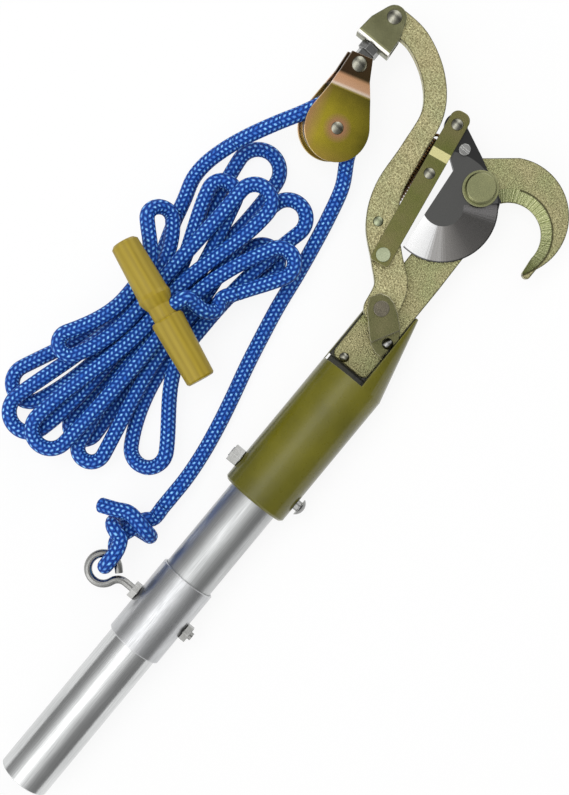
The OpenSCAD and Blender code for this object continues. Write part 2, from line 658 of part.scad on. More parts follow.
module clevis_rivet() {
    ear_z0 = work_z - gap - sheet_t;
    color("gray") at(clevis_p, 0) {
        translate([0, 0, ear_z0]) cylinder(h = cover_z1 - ear_z0, r = rivet_r);
        translate([0, 0, ear_z0 - 1.4]) cylinder(h = 1.4, r = rivet_r + 1.6);
        translate([0, 0, cover_z1]) dome(4.4, 2);
    }
}

// Places a shape modelled about the stud's axis, at the block rivet's height
module on_stud() { translate([clevis_p[0], block_y, lever_mid_z]) rotate([0, block_swivel, 0]) children(); }
module in_block() { on_stud() rotate([0, 0, block_swing]) children(); }
stud_seat = clevis_y0 - gap - block_y;
module swivel_stud() {
    head_y = stud_seat + 2 * gap + sheet_t;
    color("silver") on_stud() {
        translate([0, 4, 0]) along_y() cylinder(h = head_y - 4 + 1, r = stud_r);
        translate([0, head_y, 0]) along_y() cylinder(h = 3.6, r = stud_head_r);
        difference() {
            union() {
                translate([0, 0, -eye_plate_t / 2]) cylinder(h = eye_plate_t, r = 6);
                translate([-4.5, 0, -eye_plate_t / 2]) cube([9, stud_seat - stud_nut_h, eye_plate_t]);
            }
            translate([0, 0, -eye_plate_t]) cylinder(h = 2 * eye_plate_t, r = rivet_r + run);
        }
    }
}
module stud_nut() {
    color("silver") on_stud() difference() {
        translate([0, stud_seat - stud_nut_h, 0]) along_y() hex(stud_nut_af, stud_nut_h);
        translate([0, stud_seat - stud_nut_h - 1, 0]) along_y() cylinder(h = stud_nut_h + 2, r = stud_r + fit);
    }
}

// Pulley cheeks: stepped sheet, close at the rivet and wide round the sheave
step_y0 = -7;
step_y1 = -17;
module cheek(side) {
    near = eye_plate_t / 2 + 0.1;
    far = cheek_gap / 2;
    top = 7;
    foot = block_len + cheek_r;
    tangent_a = 24;
    in_block() mirror([0, 0, side < 0 ? 1 : 0]) difference() {
        intersection() {
            translate([-2 * cheek_r, 0, 0]) rotate([90, 0, 90]) linear_extrude(4 * cheek_r) polygon([
                [top, near], [top, near + cheek_t], [step_y0, near + cheek_t], [step_y1, far + cheek_t],
                [-foot, far + cheek_t], [-foot, far], [step_y1, far], [step_y0, near]]);
            linear_extrude(far + 2 * cheek_t) polygon(concat(
                [[-6.5, 5.5], [-9.5, step_y0], [-12.8, step_y1]],
                arc([0, -block_len], cheek_r, 180 - tangent_a, 360 + tangent_a, 40),
                [[12.8, step_y1], [9.5, step_y0], [6.5, 5.5]]));
        }
        cylinder(h = 20, r = rivet_r + fit);
        translate([0, -block_len, 0]) cylinder(h = 20, r = axle_r + fit);
    }
}
module front_cheek() { color("goldenrod") cheek(1); }
module rear_cheek() { color("goldenrod") cheek(-1); }
module block_rivet() {
    near = eye_plate_t / 2 + 0.1 + cheek_t;
    color("gray") in_block() {
        translate([0, 0, -near]) cylinder(h = 2 * near, r = rivet_r);
        translate([0, 0, near]) dome(4.7, 1.9);
        rotate([180, 0, 0]) translate([0, 0, near]) dome(4.7, 1.6);
    }
}
module sheave() {
    half = sheave_w / 2;
    groove_a = acos((sheave_r - sheave_rope_r) / sheave_groove_r);
    color("silver") in_block() translate([0, -block_len, 0]) rotate_extrude() polygon(concat(
        [[axle_r + run, -half], [sheave_r, -half]],
        arc([sheave_rope_r, 0], sheave_groove_r, -groove_a, groove_a - 360, 20),
        [[sheave_r, half], [axle_r + run, half]]));
}
module sheave_axle() {
    far = cheek_gap / 2 + cheek_t;
    color("gray") in_block() translate([0, -block_len, 0]) {
        translate([0, 0, -far]) cylinder(h = 2 * far, r = axle_r);
        translate([0, 0, far]) dome(axle_r + 0.8, 1.3);
        rotate([180, 0, 0]) translate([0, 0, far]) dome(axle_r + 0.8, 1.3);
    }
}

// Rope over the sheave
module rope_turn() {
    color("royalblue") in_block() translate([0, -block_len, 0]) rotate([0, 0, turn_a0])
        rotate_extrude(angle = turn_a1 - turn_a0) translate([sheave_rope_r, 0]) circle(rope_r);
}
module rope_fall() { color("royalblue") tube(fall_route, rope_r, 10); }
module rope_lead() { color("royalblue") tube(lead_route, rope_r, 10); }

function stand_x(y, y0) = knot_stand[0] + knot_lean * (y - y0);
// Knot: the rope passes through the eye, climbs in front and takes a turn round itself
function knot_path() = let (
    top = eye_c[1] + eye_r, bend = eye_rod / 2 + rope_r + gap, wind = rope_d + 1.2, rise = rope_d + 4.5,
    y0 = top + 12, y1 = y0 + rise, lift = knot_stand[1], front = lift + wind)
    concat(
        [knot_top, knot_top - [0, rope_d, 0]],
        [for (y = [top + 27, top + 20, top + 8]) [stand_x(y, y0), y, lift]],
        [for (k = [0:8]) let (a = -90 - 22.5 * k) [eye_c[0], top + bend * cos(a), bend * sin(a)]],
        [[eye_c[0] - 0.5, top + 6, bend - 0.6]],
        [for (k = [0:24]) let (a = 90 + 15 * k, y = y0 + rise * k / 24)
            [stand_x(y, y0) + wind * cos(a), y, lift + wind * sin(a)]],
        [[stand_x(y1, y0) - 9, y1 + 0.8, front], [-58, y1 - 2.5, front], [-58 - 0.9 * rope_d, y1 - 6, front]]);
module rope_knot() { color("royalblue") tube(knot_path(), rope_r, 6); }

// Hank. Each loop has a leg out from its slot at the waist, a half circle and a leg back.
function layer_z(k) = hank_z + hank_layer * k;
function slot_x(s, layer) = (s - (hank_slots + 1) / 2 + (layer % 2 == 0 ? -0.25 : 0.25)) * hank_pitch;
function in_hank(p, z) = [hank_c[0] + p[0], hank_c[1] + p[1], z];
// A share f of the way along a smooth bend from p, heading u, to q, heading v
function bend_pt(p, u, q, v, f) = let (n = norm(q - p), g = 1 - f)
    g * g * (1 + 2 * f) * p + f * g * g * n * u + f * f * (3 - 2 * f) * q - f * f * g * n * v;
function loop_pts(i) = let (
    l = hank_loops[i], end = i % 2 == 0 ? -1 : 1, out = [0, end], z0 = layer_z(l[2]), z1 = layer_z(l[3]),
    hand = l[0] == l[1] ? (l[0] > hank_slots / 2 ? 1 : -1) : sign(l[1] - l[0]),
    u = [sin(l[4]), end * cos(l[4])], w = hand * [cos(l[4]), -end * sin(l[4])], c = l[5] * u,
    from = [slot_x(l[0], l[2]), end * hank_waist], to = [slot_x(l[1], l[3]), end * hank_waist],
    last = i == len(hank_loops) - 1 ? leg_steps / 2 : leg_steps)
    concat(
        [for (k = [0:leg_steps - 1]) in_hank(bend_pt(from, out, c - l[6] * w, u, k / leg_steps), z0)],
        [for (k = [0:fold_steps]) let (a = 180 * k / fold_steps)
            in_hank(c + l[6] * (sin(a) * u - cos(a) * w), z0 + (z1 - z0) * smooth(k / fold_steps))],
        [for (k = [1:last]) in_hank(bend_pt(c + l[6] * w, -u, to, -out, k / leg_steps), z1)]);
function hank_path() = concat(
    [for (k = [0:leg_steps]) in_hank(bend_pt(hank_from, [sin(hank_from_a), -cos(hank_from_a)],
        [slot_x(1, 0), hank_waist], [0, -1], k / leg_steps), hank_z)],
    [for (i = [0:len(hank_loops) - 1]) each loop_pts(i)]);
module rope_hank() { color("royalblue") tube(hank_path(), rope_r, 6); }

// Least gap between two stretches of the hank, on points between its rings
function finer(p, n) = [for (i = [0:len(p) - 2]) for (k = [0:n - 1]) p[i] + (p[i + 1] - p[i]) * k / n];
function self_gap(p, skip, thick) =
    min([for (i = [0:len(p) - 1 - skip]) min([for (j = [i + skip:len(p) - 1]) norm(p[i] - p[j])])]) - thick;

// Wrap: from the hank's last leg, over its side and into the handle
function wrap_path() = let (p = hank_path(), e = p[len(p) - 1], d = unit(e - p[len(p) - 2]))
    concat([e + butt * d, e + rope_d * d],
        [e + [-3, -16, 2], e + [-8, -20.5, 7.5], e + [-15, -20.5, 11.5]],
        [wrap_end + 12 * handle_in, wrap_end + 6 * handle_in, wrap_end]);
module rope_wrap() { color("royalblue") tube(curve(wrap_path(), 2), rope_r, 10); }

// Handle: two tapered grips turned with a waist between them
module rope_handle() {
    half = handle_len / 2;
    w = handle_waist_w / 2;
    r = handle_d / 2;
    color("burlywood") difference() {
        translate(handle_c) rotate([0, 0, handle_a]) along_x() rotate_extrude() polygon([
            [0, -half], [handle_end_r - 1.5, -half], [handle_end_r, -half + 1.5], [r - 0.6, -w - 7], [r, -w - 4.5],
            [r - 0.5, -w - 3], [handle_waist_r + 0.8, -w], [handle_waist_r, -w + 1.5], [handle_waist_r, w],
            [r - 0.7, w + 0.4], [r - 0.2, w + 1.5], [handle_end_r + 0.3, half - 1], [handle_end_r - 0.6, half], [0, half]]);
        translate(handle_c + (handle_waist_r - handle_hole) * handle_in) rotate([0, 0, handle_a]) along_y()
            cylinder(h = handle_d, r = rope_r + gap);
    }
}

echo(hank_gap_mm = self_gap(finer(hank_path(), 4), 16, rope_d), hank_length_mm = length_of(hank_path()));
echo(knot_gap_mm = self_gap(finer(knot_path(), 4), 24, rope_d), knot_length_mm = length_of(knot_path()));
echo(spring_gap_mm = self_gap(finer(spring_path(), 2), 10, spring_wire));
echo(fall_length_mm = length_of(fall_route), lead_length_mm = length_of(lead_route));
echo(wrap_length_mm = length_of(wrap_path()), turn_length_mm = sheave_rope_r * (turn_a1 - turn_a0) * PI / 180);

lower_tube();
upper_tube();
joint_sleeve();
eye_hook_bolt();
eye_jam_nut();
eye_end_nut();
head_adapter();
adapter_bolt();
adapter_nut();
hook_plate();
tail_rivet();
pivot_bridge();
bridge_screw();
lever_pivot_bolt();
lever_pivot_nut();
blade_pivot_bolt();
blade_pivot_washer();
blade_pivot_nut();
blade();
blade_screw();
pull_lever();
spring_rivet();
return_spring();
link_strap();
lever_end_rivet();
blade_end_rivet();
spring_post();
clevis();
clevis_rivet();
swivel_stud();
stud_nut();
front_cheek();
rear_cheek();
block_rivet();
sheave();
sheave_axle();
rope_turn();
rope_fall();
rope_lead();
rope_knot();
rope_hank();
rope_wrap();
rope_handle();
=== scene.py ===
"""Looks of a rope-worked tree pruner head on a short jointed pole, lying on its back on a pale floor."""

import logging
import math
from dataclasses import dataclass
from enum import Enum
from typing import Sequence, Union

import bpy
import numpy as np
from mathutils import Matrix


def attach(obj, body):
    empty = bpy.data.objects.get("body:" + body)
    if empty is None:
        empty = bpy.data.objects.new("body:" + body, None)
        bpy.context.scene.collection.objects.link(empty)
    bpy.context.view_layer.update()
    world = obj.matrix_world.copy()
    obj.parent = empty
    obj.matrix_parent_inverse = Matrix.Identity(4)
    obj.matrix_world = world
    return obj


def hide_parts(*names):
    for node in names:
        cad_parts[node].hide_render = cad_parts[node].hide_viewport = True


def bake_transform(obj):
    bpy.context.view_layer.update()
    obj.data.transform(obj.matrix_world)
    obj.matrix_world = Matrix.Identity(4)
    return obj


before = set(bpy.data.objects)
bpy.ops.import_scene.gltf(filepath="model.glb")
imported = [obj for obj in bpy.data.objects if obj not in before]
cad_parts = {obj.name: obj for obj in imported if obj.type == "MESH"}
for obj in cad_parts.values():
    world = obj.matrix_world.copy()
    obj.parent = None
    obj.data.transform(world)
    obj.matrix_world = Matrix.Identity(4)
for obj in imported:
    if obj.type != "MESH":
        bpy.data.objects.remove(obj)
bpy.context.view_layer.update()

MM = 0.001
LOG = logging.getLogger("pruner")

Color = tuple[float, float, float]
Point = tuple[float, float, float]
Place = tuple[float, float]
Stops = Sequence[tuple[float, Color]]
Material = bpy.types.Material
Tree = bpy.types.NodeTree
Node = bpy.types.Node
Socket = bpy.types.NodeSocket
Sockets = bpy.types.bpy_prop_collection
Thing = bpy.types.Object
Value = Union[float, Sequence[float], Socket]
Values = dict[Union[str, int], Value]

UP = np.array([0.0, 0.0, 1.0])
UV_PER_METRE = 100.0
BOW_POINTS = 24
TIP_TURNS = (30.0, 60.0, 84.0)
TIP_BULGE = 0.6

# The pulley block's rivet and the way it hangs there, in millimetres and degrees.
BLOCK_PIN = (-114.5, 442.5, 6.05)
BLOCK_SWING = 20.0
BLOCK_SWIVEL = 18.0
BLOCK_LEN = 38.5
HANDLE_TURN = math.radians(-21.0)


class Body(str, Enum):
    """The bodies that move apart."""

    POLE = "pole"
    LEVER = "lever"
    LINK = "link"
    YOKE = "yoke"
    STUD = "stud"
    BLOCK = "block"
    HANK = "hank"


class Graph:
    """A shader node tree with short ways to add and join nodes."""

    def __init__(self, tree: Tree) -> None:
        """Wraps a node tree."""
        self.tree = tree

    def feed(self, node: Node, values: Values) -> None:
        """Links or sets a node's inputs.

        Args:
            node: the node.
            values: for an input's name or number, a socket to link from or a constant.
        """
        for key, value in values.items():
            if isinstance(value, Socket):
                self.tree.links.new(value, node.inputs[key])
            else:
                node.inputs[key].default_value = value

    def add(self, kind: str, values: Values | None = None, **settings: object) -> Node:
        """Adds a node.

        Args:
            kind: the node's type, without its ShaderNode prefix.
            values: what its inputs are fed.
            settings: properties of the node.

        Returns:
            The new node.
        """
        node = self.tree.nodes.new("ShaderNode" + kind)
        for key, value in settings.items():
            setattr(node, key, value)
        self.feed(node, values or {})
        return node

    def group(self, tree: Tree, values: Values | None = None) -> Sockets:
        """Places a shared group and returns its outputs."""
        return self.add("Group", values, node_tree=tree).outputs

    def math(self, operation: str, a: Value, b: Value = 0.0) -> Socket:
        """Adds a Math node and returns its result."""
        return self.add("Math", {0: a, 1: b}, operation=operation).outputs[0]

    def times(self, a: Value, b: Value) -> Socket:
        """Returns the product of two values."""
        return self.math("MULTIPLY", a, b)

    def vector(self, operation: str, *sides: Value) -> Sockets:
        """Adds a Vector Math node and returns its outputs."""
        return self.add("VectorMath", dict(enumerate(sides)), operation=operation).outputs

    def spread(self, value: Value, low: Value, high: Value, to_low: float = 0.0, to_high: float = 1.0) -> Socket:
        """Maps a range of a value onto another range.

        Args:
            value: what is mapped.
            low: start of the range that is read.
            high: end of the range that is read.
            to_low: what low becomes.
            to_high: what high becomes.

        Returns:
            The mapped value.
        """
        values = {"Value": value, "From Min": low, "From Max": high, "To Min": to_low, "To Max": to_high}
        return self.add("MapRange", values).outputs["Result"]

    def blend(self, share: Value, a: Value, b: Value) -> Socket:
        """Mixes two colours.

        Args:
            share: how much of b shows.
            a: the first colour.
            b: the second colour.

        Returns:
            The mixed colour.
        """
        first, second = ((*c, 1.0) if isinstance(c, tuple) else c for c in (a, b))
        return self.add("Mix", {0: share, 6: first, 7: second}, data_type="RGBA").outputs[2]

    def ramp(self, value: Value, stops: Stops) -> Socket:
        """Maps a value onto a ramp of colours.

        Args:
            value: the place on the ramp.
            stops: places and their colours, in order.

        Returns:
            The colour there.
        """
        node = self.add("ValToRGB", {0: value})
        elements = node.color_ramp.elements
        for place, _ in stops[2:]:
            elements.new(place)
        for element, (place, color) in zip(elements, stops):
            element.position = place
            element.color = (*color, 1.0)
        return node.outputs[0]

    def bump(self, strength: float, distance: float, height: Socket, normal: Socket | None = None) -> Socket:
        """Adds a Bump node.

        Args:
            strength: how strong it is.
            distance: its depth, in metres.
            height: the height from 0 to 1.
            normal: the normal that it starts from, if not the surface's own.

        Returns:
            The bumpy normal.
        """
        values = {"Strength": strength, "Distance": distance, "Height": height}
        if normal is not None:
            values["Normal"] = normal
        return self.add("Bump", values).outputs[0]


class Effects:
    """The shader groups that several finishes share."""

    def __init__(self) -> None:
        """Builds each group once."""
        self.grain = self._grain()
        self.edges = self._edges()
        self.bends = self._bends()
        self.strokes = self._strokes()
        self.braid = self._braid()

    @staticmethod
    def _open(name: str, inputs: dict[str, float], outputs: dict[str, str]) -> tuple[Graph, Sockets]:
        """Makes an empty shader node group.

        Args:
            name: the group's name.
            inputs: names of its float inputs, with their defaults.
            outputs: names of its outputs, with their socket types.

        Returns:
            The group's graph, and the sockets that carry its inputs.
        """
        tree = bpy.data.node_groups.new(name, "ShaderNodeTree")
        for key, default in inputs.items():
            tree.interface.new_socket(name=key, in_out="INPUT", socket_type="NodeSocketFloat").default_value = default
        for key, kind in outputs.items():
            tree.interface.new_socket(name=key, in_out="OUTPUT", socket_type="NodeSocket" + kind)
        return Graph(tree), tree.nodes.new("NodeGroupInput").outputs

    @staticmethod
    def _close(graph: Graph, results: dict[str, Socket]) -> Tree:
        """Joins the results to a group's outputs and returns its tree."""
        graph.feed(graph.tree.nodes.new("NodeGroupOutput"), results)
        return graph.tree

    def _grain(self) -> Tree:
        """Builds the fine and broad unevenness of a surface, stretched along the pole on request.

        Returns:
            The group's tree, which puts out Fine and Broad from 0 to 1.
        """
        graph, given = self._open(
            "surface_grain",
            {"Per Metre": 900.0, "Along Pole": 1.0, "Broad Per Metre": 40.0},
            {"Fine": "Float", "Broad": "Float"},
        )
        place = graph.add("TexCoord").outputs["Object"]
        stretch = graph.add("CombineXYZ", {0: 1.0, 1: given["Along Pole"], 2: 1.0}).outputs[0]
        drawn = graph.vector("MULTIPLY", place, stretch)[0]
        fine = graph.add("TexNoise", {"Vector": drawn, "Scale": given["Per Metre"], "Detail": 4.0}).outputs[0]
        broad = graph.add("TexNoise", {"Vector": place, "Scale": given["Broad Per Metre"], "Detail": 3.0}).outputs[0]
        return self._close(graph, {"Fine": graph.spread(fine, 0.3, 0.7), "Broad": graph.spread(broad, 0.35, 0.65)})

    def _edges(self) -> Tree:
        """Builds the rounded normal of a piece's edges and the mask for the light and shade painted along them.

        Returns:
            The group's tree, which puts out a rounded Normal and the mask where light and shade are painted along the
            edges.
        """
        graph, given = self._open("painted_edge_shading", {"Radius": 0.0005}, {"Normal": "Vector", "Edge Shading": "Float"})
        rounded = graph.add("Bevel", {"Radius": given["Radius"]}, samples=6).outputs[0]
        true = graph.add("NewGeometry").outputs["Normal"]
        along = graph.vector("DOT_PRODUCT", rounded, true)["Value"]
        return self._close(graph, {"Normal": rounded, "Edge Shading": graph.spread(along, 0.995, 0.86)})

    def _bends(self) -> Tree:
        """Finds the sloping faces of a flat piece, where the metal finishes paint a highlight and the hook shows its
        ground bevel.

        Returns:
            The group's tree, which puts out a Bend mask.
        """
        graph, given = self._open("sloping_faces", {"From": 0.985, "To": 0.94}, {"Bend": "Float"})
        up = graph.add("SeparateXYZ", {0: graph.add("NewGeometry").outputs["True Normal"]}).outputs[2]
        slope = graph.spread(up, given["From"], given["To"])
        return self._close(graph, {"Bend": graph.times(slope, graph.math("GREATER_THAN", up, 0.2))})

    def _strokes(self) -> Tree:
        """Builds the strokes that a grinder leaves round a centre.

        Returns:
            The group's tree, which puts out the Angle and the Reach from the centre, in radians and metres, and a
            Stroke from 0 to 1.
        """
        graph, given = self._open(
            "ground_strokes",
            {"Centre X": 0.0, "Centre Y": 0.0, "Per Radian": 34.0, "Detail": 3.0},
            {"Angle": "Float", "Reach": "Float", "Stroke": "Float"},
        )
        part = graph.add("SeparateXYZ", {0: graph.add("TexCoord").outputs["Object"]}).outputs
        across = graph.math("SUBTRACT", part[0], given["Centre X"])
        along = graph.math("SUBTRACT", part[1], given["Centre Y"])
        angle = graph.math("ARCTAN2", along, across)
        flat = graph.add("CombineXYZ", {0: across, 1: along}).outputs[0]
        noise = {"W": angle, "Scale": given["Per Radian"], "Detail": given["Detail"]}
        stroke = graph.add("TexNoise", noise, noise_dimensions="1D").outputs[0]
        return self._close(graph, {"Angle": angle, "Reach": graph.vector("LENGTH", flat)["Value"], "Stroke": stroke})

    def _braid(self) -> Tree:
        """Builds the stitches of a solid braid from a tube's own coordinates.

        Returns:
            The group's tree, which puts out Height from 0 to 1 and the mask, from 0 to 1, of stitch crowns that get a
            painted highlight.
        """
        graph, given = self._open(
            "solid_braid", {"Columns": 10.0, "Rate": 3.2, "Slant": 0.35}, {"Height": "Float", "Crown Glint": "Float"}
        )
        uv = graph.add("SeparateXYZ", {0: graph.add("TexCoord").outputs["UV"]}).outputs
        around = graph.times(uv[1], given["Columns"])
        column = graph.math("FLOOR", around)
        across = graph.math("SUBTRACT", graph.math("FRACT", around), 0.5)
        odd = graph.math("MODULO", column, 2.0)
        turn = graph.math("SUBTRACT", 1.0, graph.times(odd, 2.0))
        lean = graph.times(graph.times(across, turn), given["Slant"])
        pace = graph.math("ADD", graph.times(uv[0], given["Rate"]), lean)
        phase = graph.math("ADD", pace, graph.times(odd, 0.5))
        swell = graph.math("SINE", graph.times(graph.math("FRACT", phase), math.pi))
        ridge = graph.math("COSINE", graph.times(across, math.pi))
        height = graph.times(graph.math("POWER", swell, 0.6), graph.math("POWER", ridge, 0.5))
        cell = graph.math("ADD", graph.math("FLOOR", phase), graph.times(column, 17.3))
        chance = graph.add("TexWhiteNoise", {"W": cell}, noise_dimensions="1D").outputs["Value"]
        # The mask for a painted highlight on some stitches' crowns.
        crown_glint = graph.times(graph.spread(height, 0.76, 0.97), graph.math("POWER", chance, 0.5))
        return self._close(graph, {"Height": height, "Crown Glint": crown_glint})


def new_material(name: str) -> tuple[Material, Graph, Node]:
    """Makes a node material with one Principled BSDF.

    Args:
        name: the material's name.

    Returns:
        The material, its graph and its Principled BSDF.
    """
    material = bpy.data.materials.new(name)
    material.use_nodes = True
    tree = material.node_tree
    return material, Graph(tree), tree.nodes["Principled BSDF"]


@dataclass(frozen=True)
class Finish:
    """A material with one Principled shader. Sizes in metres."""

    name: str

    def lay(self, graph: Graph, effects: Effects) -> Values:
        """Lays out the finish's nodes.

        Args:
            graph: the material's graph.
            effects: the shared shader groups.

        Returns:
            The shader's inputs.
        """
        raise NotImplementedError

    def build(self, effects: Effects) -> Material:
        """Builds the material.

        Args:
            effects: the shared shader groups.

        Returns:
            The new material.
        """
        material, graph, shader = new_material(self.name)
        graph.feed(shader, self.lay(graph, effects))
        return material


@dataclass(frozen=True)
class MetalFinish(Finish):
    """Bare or plated metal: colour that drifts, grain in its gloss, and light and shade painted along its edges."""

    color: Color
    drift: Color
    # edge is the colour painted along the rounded edges: a painted highlight where pale, painted shade where dark.
    edge: Color
    smooth: float
    rough: float
    per_metre: float = 1500.0
    along_pole: float = 1.0
    broad: float = 90.0
    bump: float = 0.1
    bump_depth: float = 0.0002
    speckle: float = 0.25
    edge_radius: float = 0.0005
    # How strongly the painted edge colour shows.
    edge_shading: float = 0.6
    pit: Color = (0.02, 0.02, 0.015)
    # bend is a painted highlight on the sloping faces.
    bend: Color | None = None

    def lay(self, graph: Graph, effects: Effects) -> Values:
        """Lays out the metal's nodes.

        Args:
            graph: the material's graph.
            effects: the shared shader groups.

        Returns:
            The shader's inputs.
        """
        scales = {"Per Metre": self.per_metre, "Along Pole": self.along_pole, "Broad Per Metre": self.broad}
        grain = graph.group(effects.grain, scales)
        edges = graph.group(effects.edges, {"Radius": self.edge_radius})
        tint = graph.blend(grain["Broad"], self.color, self.drift)
        tint = graph.blend(graph.spread(grain["Fine"], 0.0, 1.0, self.speckle, 0.0), tint, self.pit)
        # Painted highlight on the sloping faces.
        if self.bend:
            tint = graph.blend(graph.group(effects.bends)["Bend"], tint, self.bend)
        return {
            # Painted highlight along the edges, painted shade where the edge colour is dark.
            "Base Color": graph.blend(graph.times(edges["Edge Shading"], self.edge_shading), tint, self.edge),
            "Roughness": graph.spread(grain["Fine"], 0.0, 1.0, self.rough, self.smooth),
            "Normal": graph.bump(self.bump, self.bump_depth, grain["Fine"], edges["Normal"]),
            "Metallic": 1.0,
        }


@dataclass(frozen=True)
class ForgedFinish(MetalFinish):
    """A forging's rough skin under its plating, with painted shade along the edges."""

    # Painted shade: the dark colour painted along the edges.
    edge: Color = (0.05, 0.045, 0.02)
    smooth: float = 0.24
    rough: float = 0.46
    broad: float = 55.0
    bump: float = 0.9
    bump_depth: float = 0.0003
    speckle: float = 0.95
    edge_radius: float = 0.0014
    edge_shading: float = 1.0


@dataclass(frozen=True)
class HookFinish(ForgedFinish):
    """The forging's finish, with the grinder's strokes across the beak's bevel, and painted shade that darkens the
    bevel to its tip.
    """

    centre: Place = (0.0155, 0.4240)
    strokes: float = 34.0
    ground: Color = (0.60, 0.62, 0.34)
    stroke: Color = (0.22, 0.25, 0.09)
    # tip is the painted shade at the beak's tip.
    tip: Color = (0.10, 0.115, 0.03)
    tip_shade_angles: tuple[float, float] = (0.15, -0.45)
    crease: float = 0.0258
    crease_width: tuple[float, float] = (0.0003, 0.0008)
    crease_angles: tuple[float, float] = (-0.8, 2.0)

    def lay(self, graph: Graph, effects: Effects) -> Values:
        """Lays out the forging's nodes and the bevel's.

        Args:
            graph: the material's graph.
            effects: the shared shader groups.

        Returns:
            The shader's inputs.
        """
        inputs = super().lay(graph, effects)
        given = {"Centre X": self.centre[0], "Centre Y": self.centre[1], "Per Radian": self.strokes, "Detail": 3.0}
        round_beak = graph.group(effects.strokes, given)
        angle = round_beak["Angle"]
        ground = graph.blend(graph.spread(round_beak["Stroke"], 0.36, 0.62), self.stroke, self.ground)
        # Painted shade: the bevel darkens towards the beak's tip.
        ground = graph.blend(graph.spread(angle, *self.tip_shade_angles, 0.0, 0.85), ground, self.tip)
        tint = graph.blend(graph.group(effects.bends)["Bend"], inputs["Base Color"], ground)
        off = graph.math("ABSOLUTE", graph.math("SUBTRACT", round_beak["Reach"], self.crease))
        first, last = self.crease_angles
        line = graph.times(graph.spread(off, *self.crease_width, 0.85, 0.0), graph.math("LESS_THAN", angle, last))
        line = graph.times(line, graph.math("GREATER_THAN", angle, first))
        inputs["Base Color"] = graph.blend(line, tint, self.edge)
        return inputs


@dataclass(frozen=True)
class DichromateFinish(Finish):
    """Gold plating on the pulley's cheeks, which shifts to rose and olive from top to bottom, with a painted
    highlight band, painted shade on the lower right side and a painted highlight on the edges.
    """

    stops: Stops
    shade: Color
    rose: Color
    edge: Color
    pin: Point = tuple(c * MM for c in BLOCK_PIN)
    axle: Point = (0.0, -BLOCK_LEN * MM, 0.0)
    top: float = 0.0055
    foot: float = -0.0585
    half: float = 0.018
    hub: tuple[float, float] = (0.0042, 0.0088)
    step: tuple[float, float] = (0.345, 0.36)

    def lay(self, graph: Graph, effects: Effects) -> Values:
        """Lays out the plating's nodes, in the block's own plane.

        Args:
            graph: the material's graph.
            effects: the shared shader groups.

        Returns:
            The shader's inputs.
        """
        grain = graph.group(effects.grain, {"Per Metre": 1400.0, "Broad Per Metre": 60.0})
        edges = graph.group(effects.edges, {"Radius": 0.0004})
        place = graph.vector("SUBTRACT", graph.add("TexCoord").outputs["Object"], self.pin)[0]
        for axis, turn in (("Y_AXIS", BLOCK_SWIVEL), ("Z_AXIS", BLOCK_SWING)):
            values = {"Vector": place, "Angle": -math.radians(turn)}
            place = graph.add("VectorRotate", values, rotation_type=axis).outputs[0]
        part = graph.add("SeparateXYZ", {0: place}).outputs
        down = graph.spread(part[1], self.top, self.foot)
        low = graph.spread(down, *self.step, 0.25, 1.0)
        # Painted shade darkens the right side of the lower part.
        drift = graph.times(grain["Broad"], 0.25)
        side = graph.math("ADD", graph.spread(part[0], -0.35 * self.half, self.half, 0.0, 0.72), drift)
        tint = graph.blend(graph.times(side, low), graph.ramp(down, self.stops), self.shade)
        rim = graph.times(graph.spread(part[0], -0.55 * self.half, -self.half, 0.0, 0.7), low)
        tint = graph.blend(rim, tint, self.rose)
        flat = graph.vector("MULTIPLY", place, (1.0, 1.0, 0.0))[0]
        hub = graph.vector("DISTANCE", flat, self.axle)["Value"]
        tint = graph.blend(graph.spread(hub, *self.hub, 0.85, 0.0), tint, self.rose)
        # The edges get a painted highlight.
        return {
            "Base Color": graph.blend(graph.times(edges["Edge Shading"], 0.5), tint, self.edge),
            "Roughness": graph.spread(grain["Fine"], 0.0, 1.0, 0.36, 0.24),
            "Normal": edges["Normal"],
            "Metallic": 1.0,
        }


@dataclass(frozen=True)
class BladeFinish(Finish):
    """Blade steel: dark satin flats, and a bevel ground round the edge that catches the light in sectors."""

    flat: Color
    sectors: Stops
    rim_dark: Color = (0.03, 0.03, 0.03)
    pit: Color = (0.02, 0.02, 0.02)
    centre: Place = (-0.024, 0.4112)
    strokes: float = 55.0
    rim: float = 0.0326
    first: float = math.radians(-100.0)
    last: float = math.radians(40.0)

    def lay(self, graph: Graph, effects: Effects) -> Values:
        """Lays out the steel's nodes.

        Args:
            graph: the material's graph.
            effects: the shared shader groups.

        Returns:
            The shader's inputs.
        """
        grain = graph.group(effects.grain, {"Per Metre": 1600.0, "Broad Per Metre": 60.0})
        up = graph.add("SeparateXYZ", {0: graph.add("NewGeometry").outputs["True Normal"]}).outputs[2]
        bevel = graph.times(graph.math("LESS_THAN", up, 0.997), graph.math("GREATER_THAN", up, 0.9))
        given = {"Centre X": self.centre[0], "Centre Y": self.centre[1], "Per Radian": self.strokes, "Detail": 4.0}
        round_edge = graph.group(effects.strokes, given)
        sector = graph.spread(round_edge["Angle"], self.first, self.last)
        waver = graph.spread(round_edge["Stroke"], 0.3, 0.7, -0.03, 0.03)
        tint = graph.blend(bevel, self.flat, graph.ramp(graph.math("ADD", sector, waver), self.sectors))
        rim = graph.spread(round_edge["Reach"], self.rim - 0.0009, self.rim - 0.0005, 0.0, 0.9)
        tint = graph.blend(rim, tint, self.rim_dark)
        gloss = graph.spread(bevel, 0.0, 1.0, 0.34, 0.22)
        return {
            "Base Color": graph.blend(graph.spread(grain["Fine"], 0.0, 1.0, 0.16, 0.0), tint, self.pit),
            "Roughness": graph.math("ADD", gloss, graph.times(grain["Fine"], 0.08)),
            "Normal": graph.bump(0.05, 0.0001, grain["Fine"]),
            "Metallic": 1.0,
        }


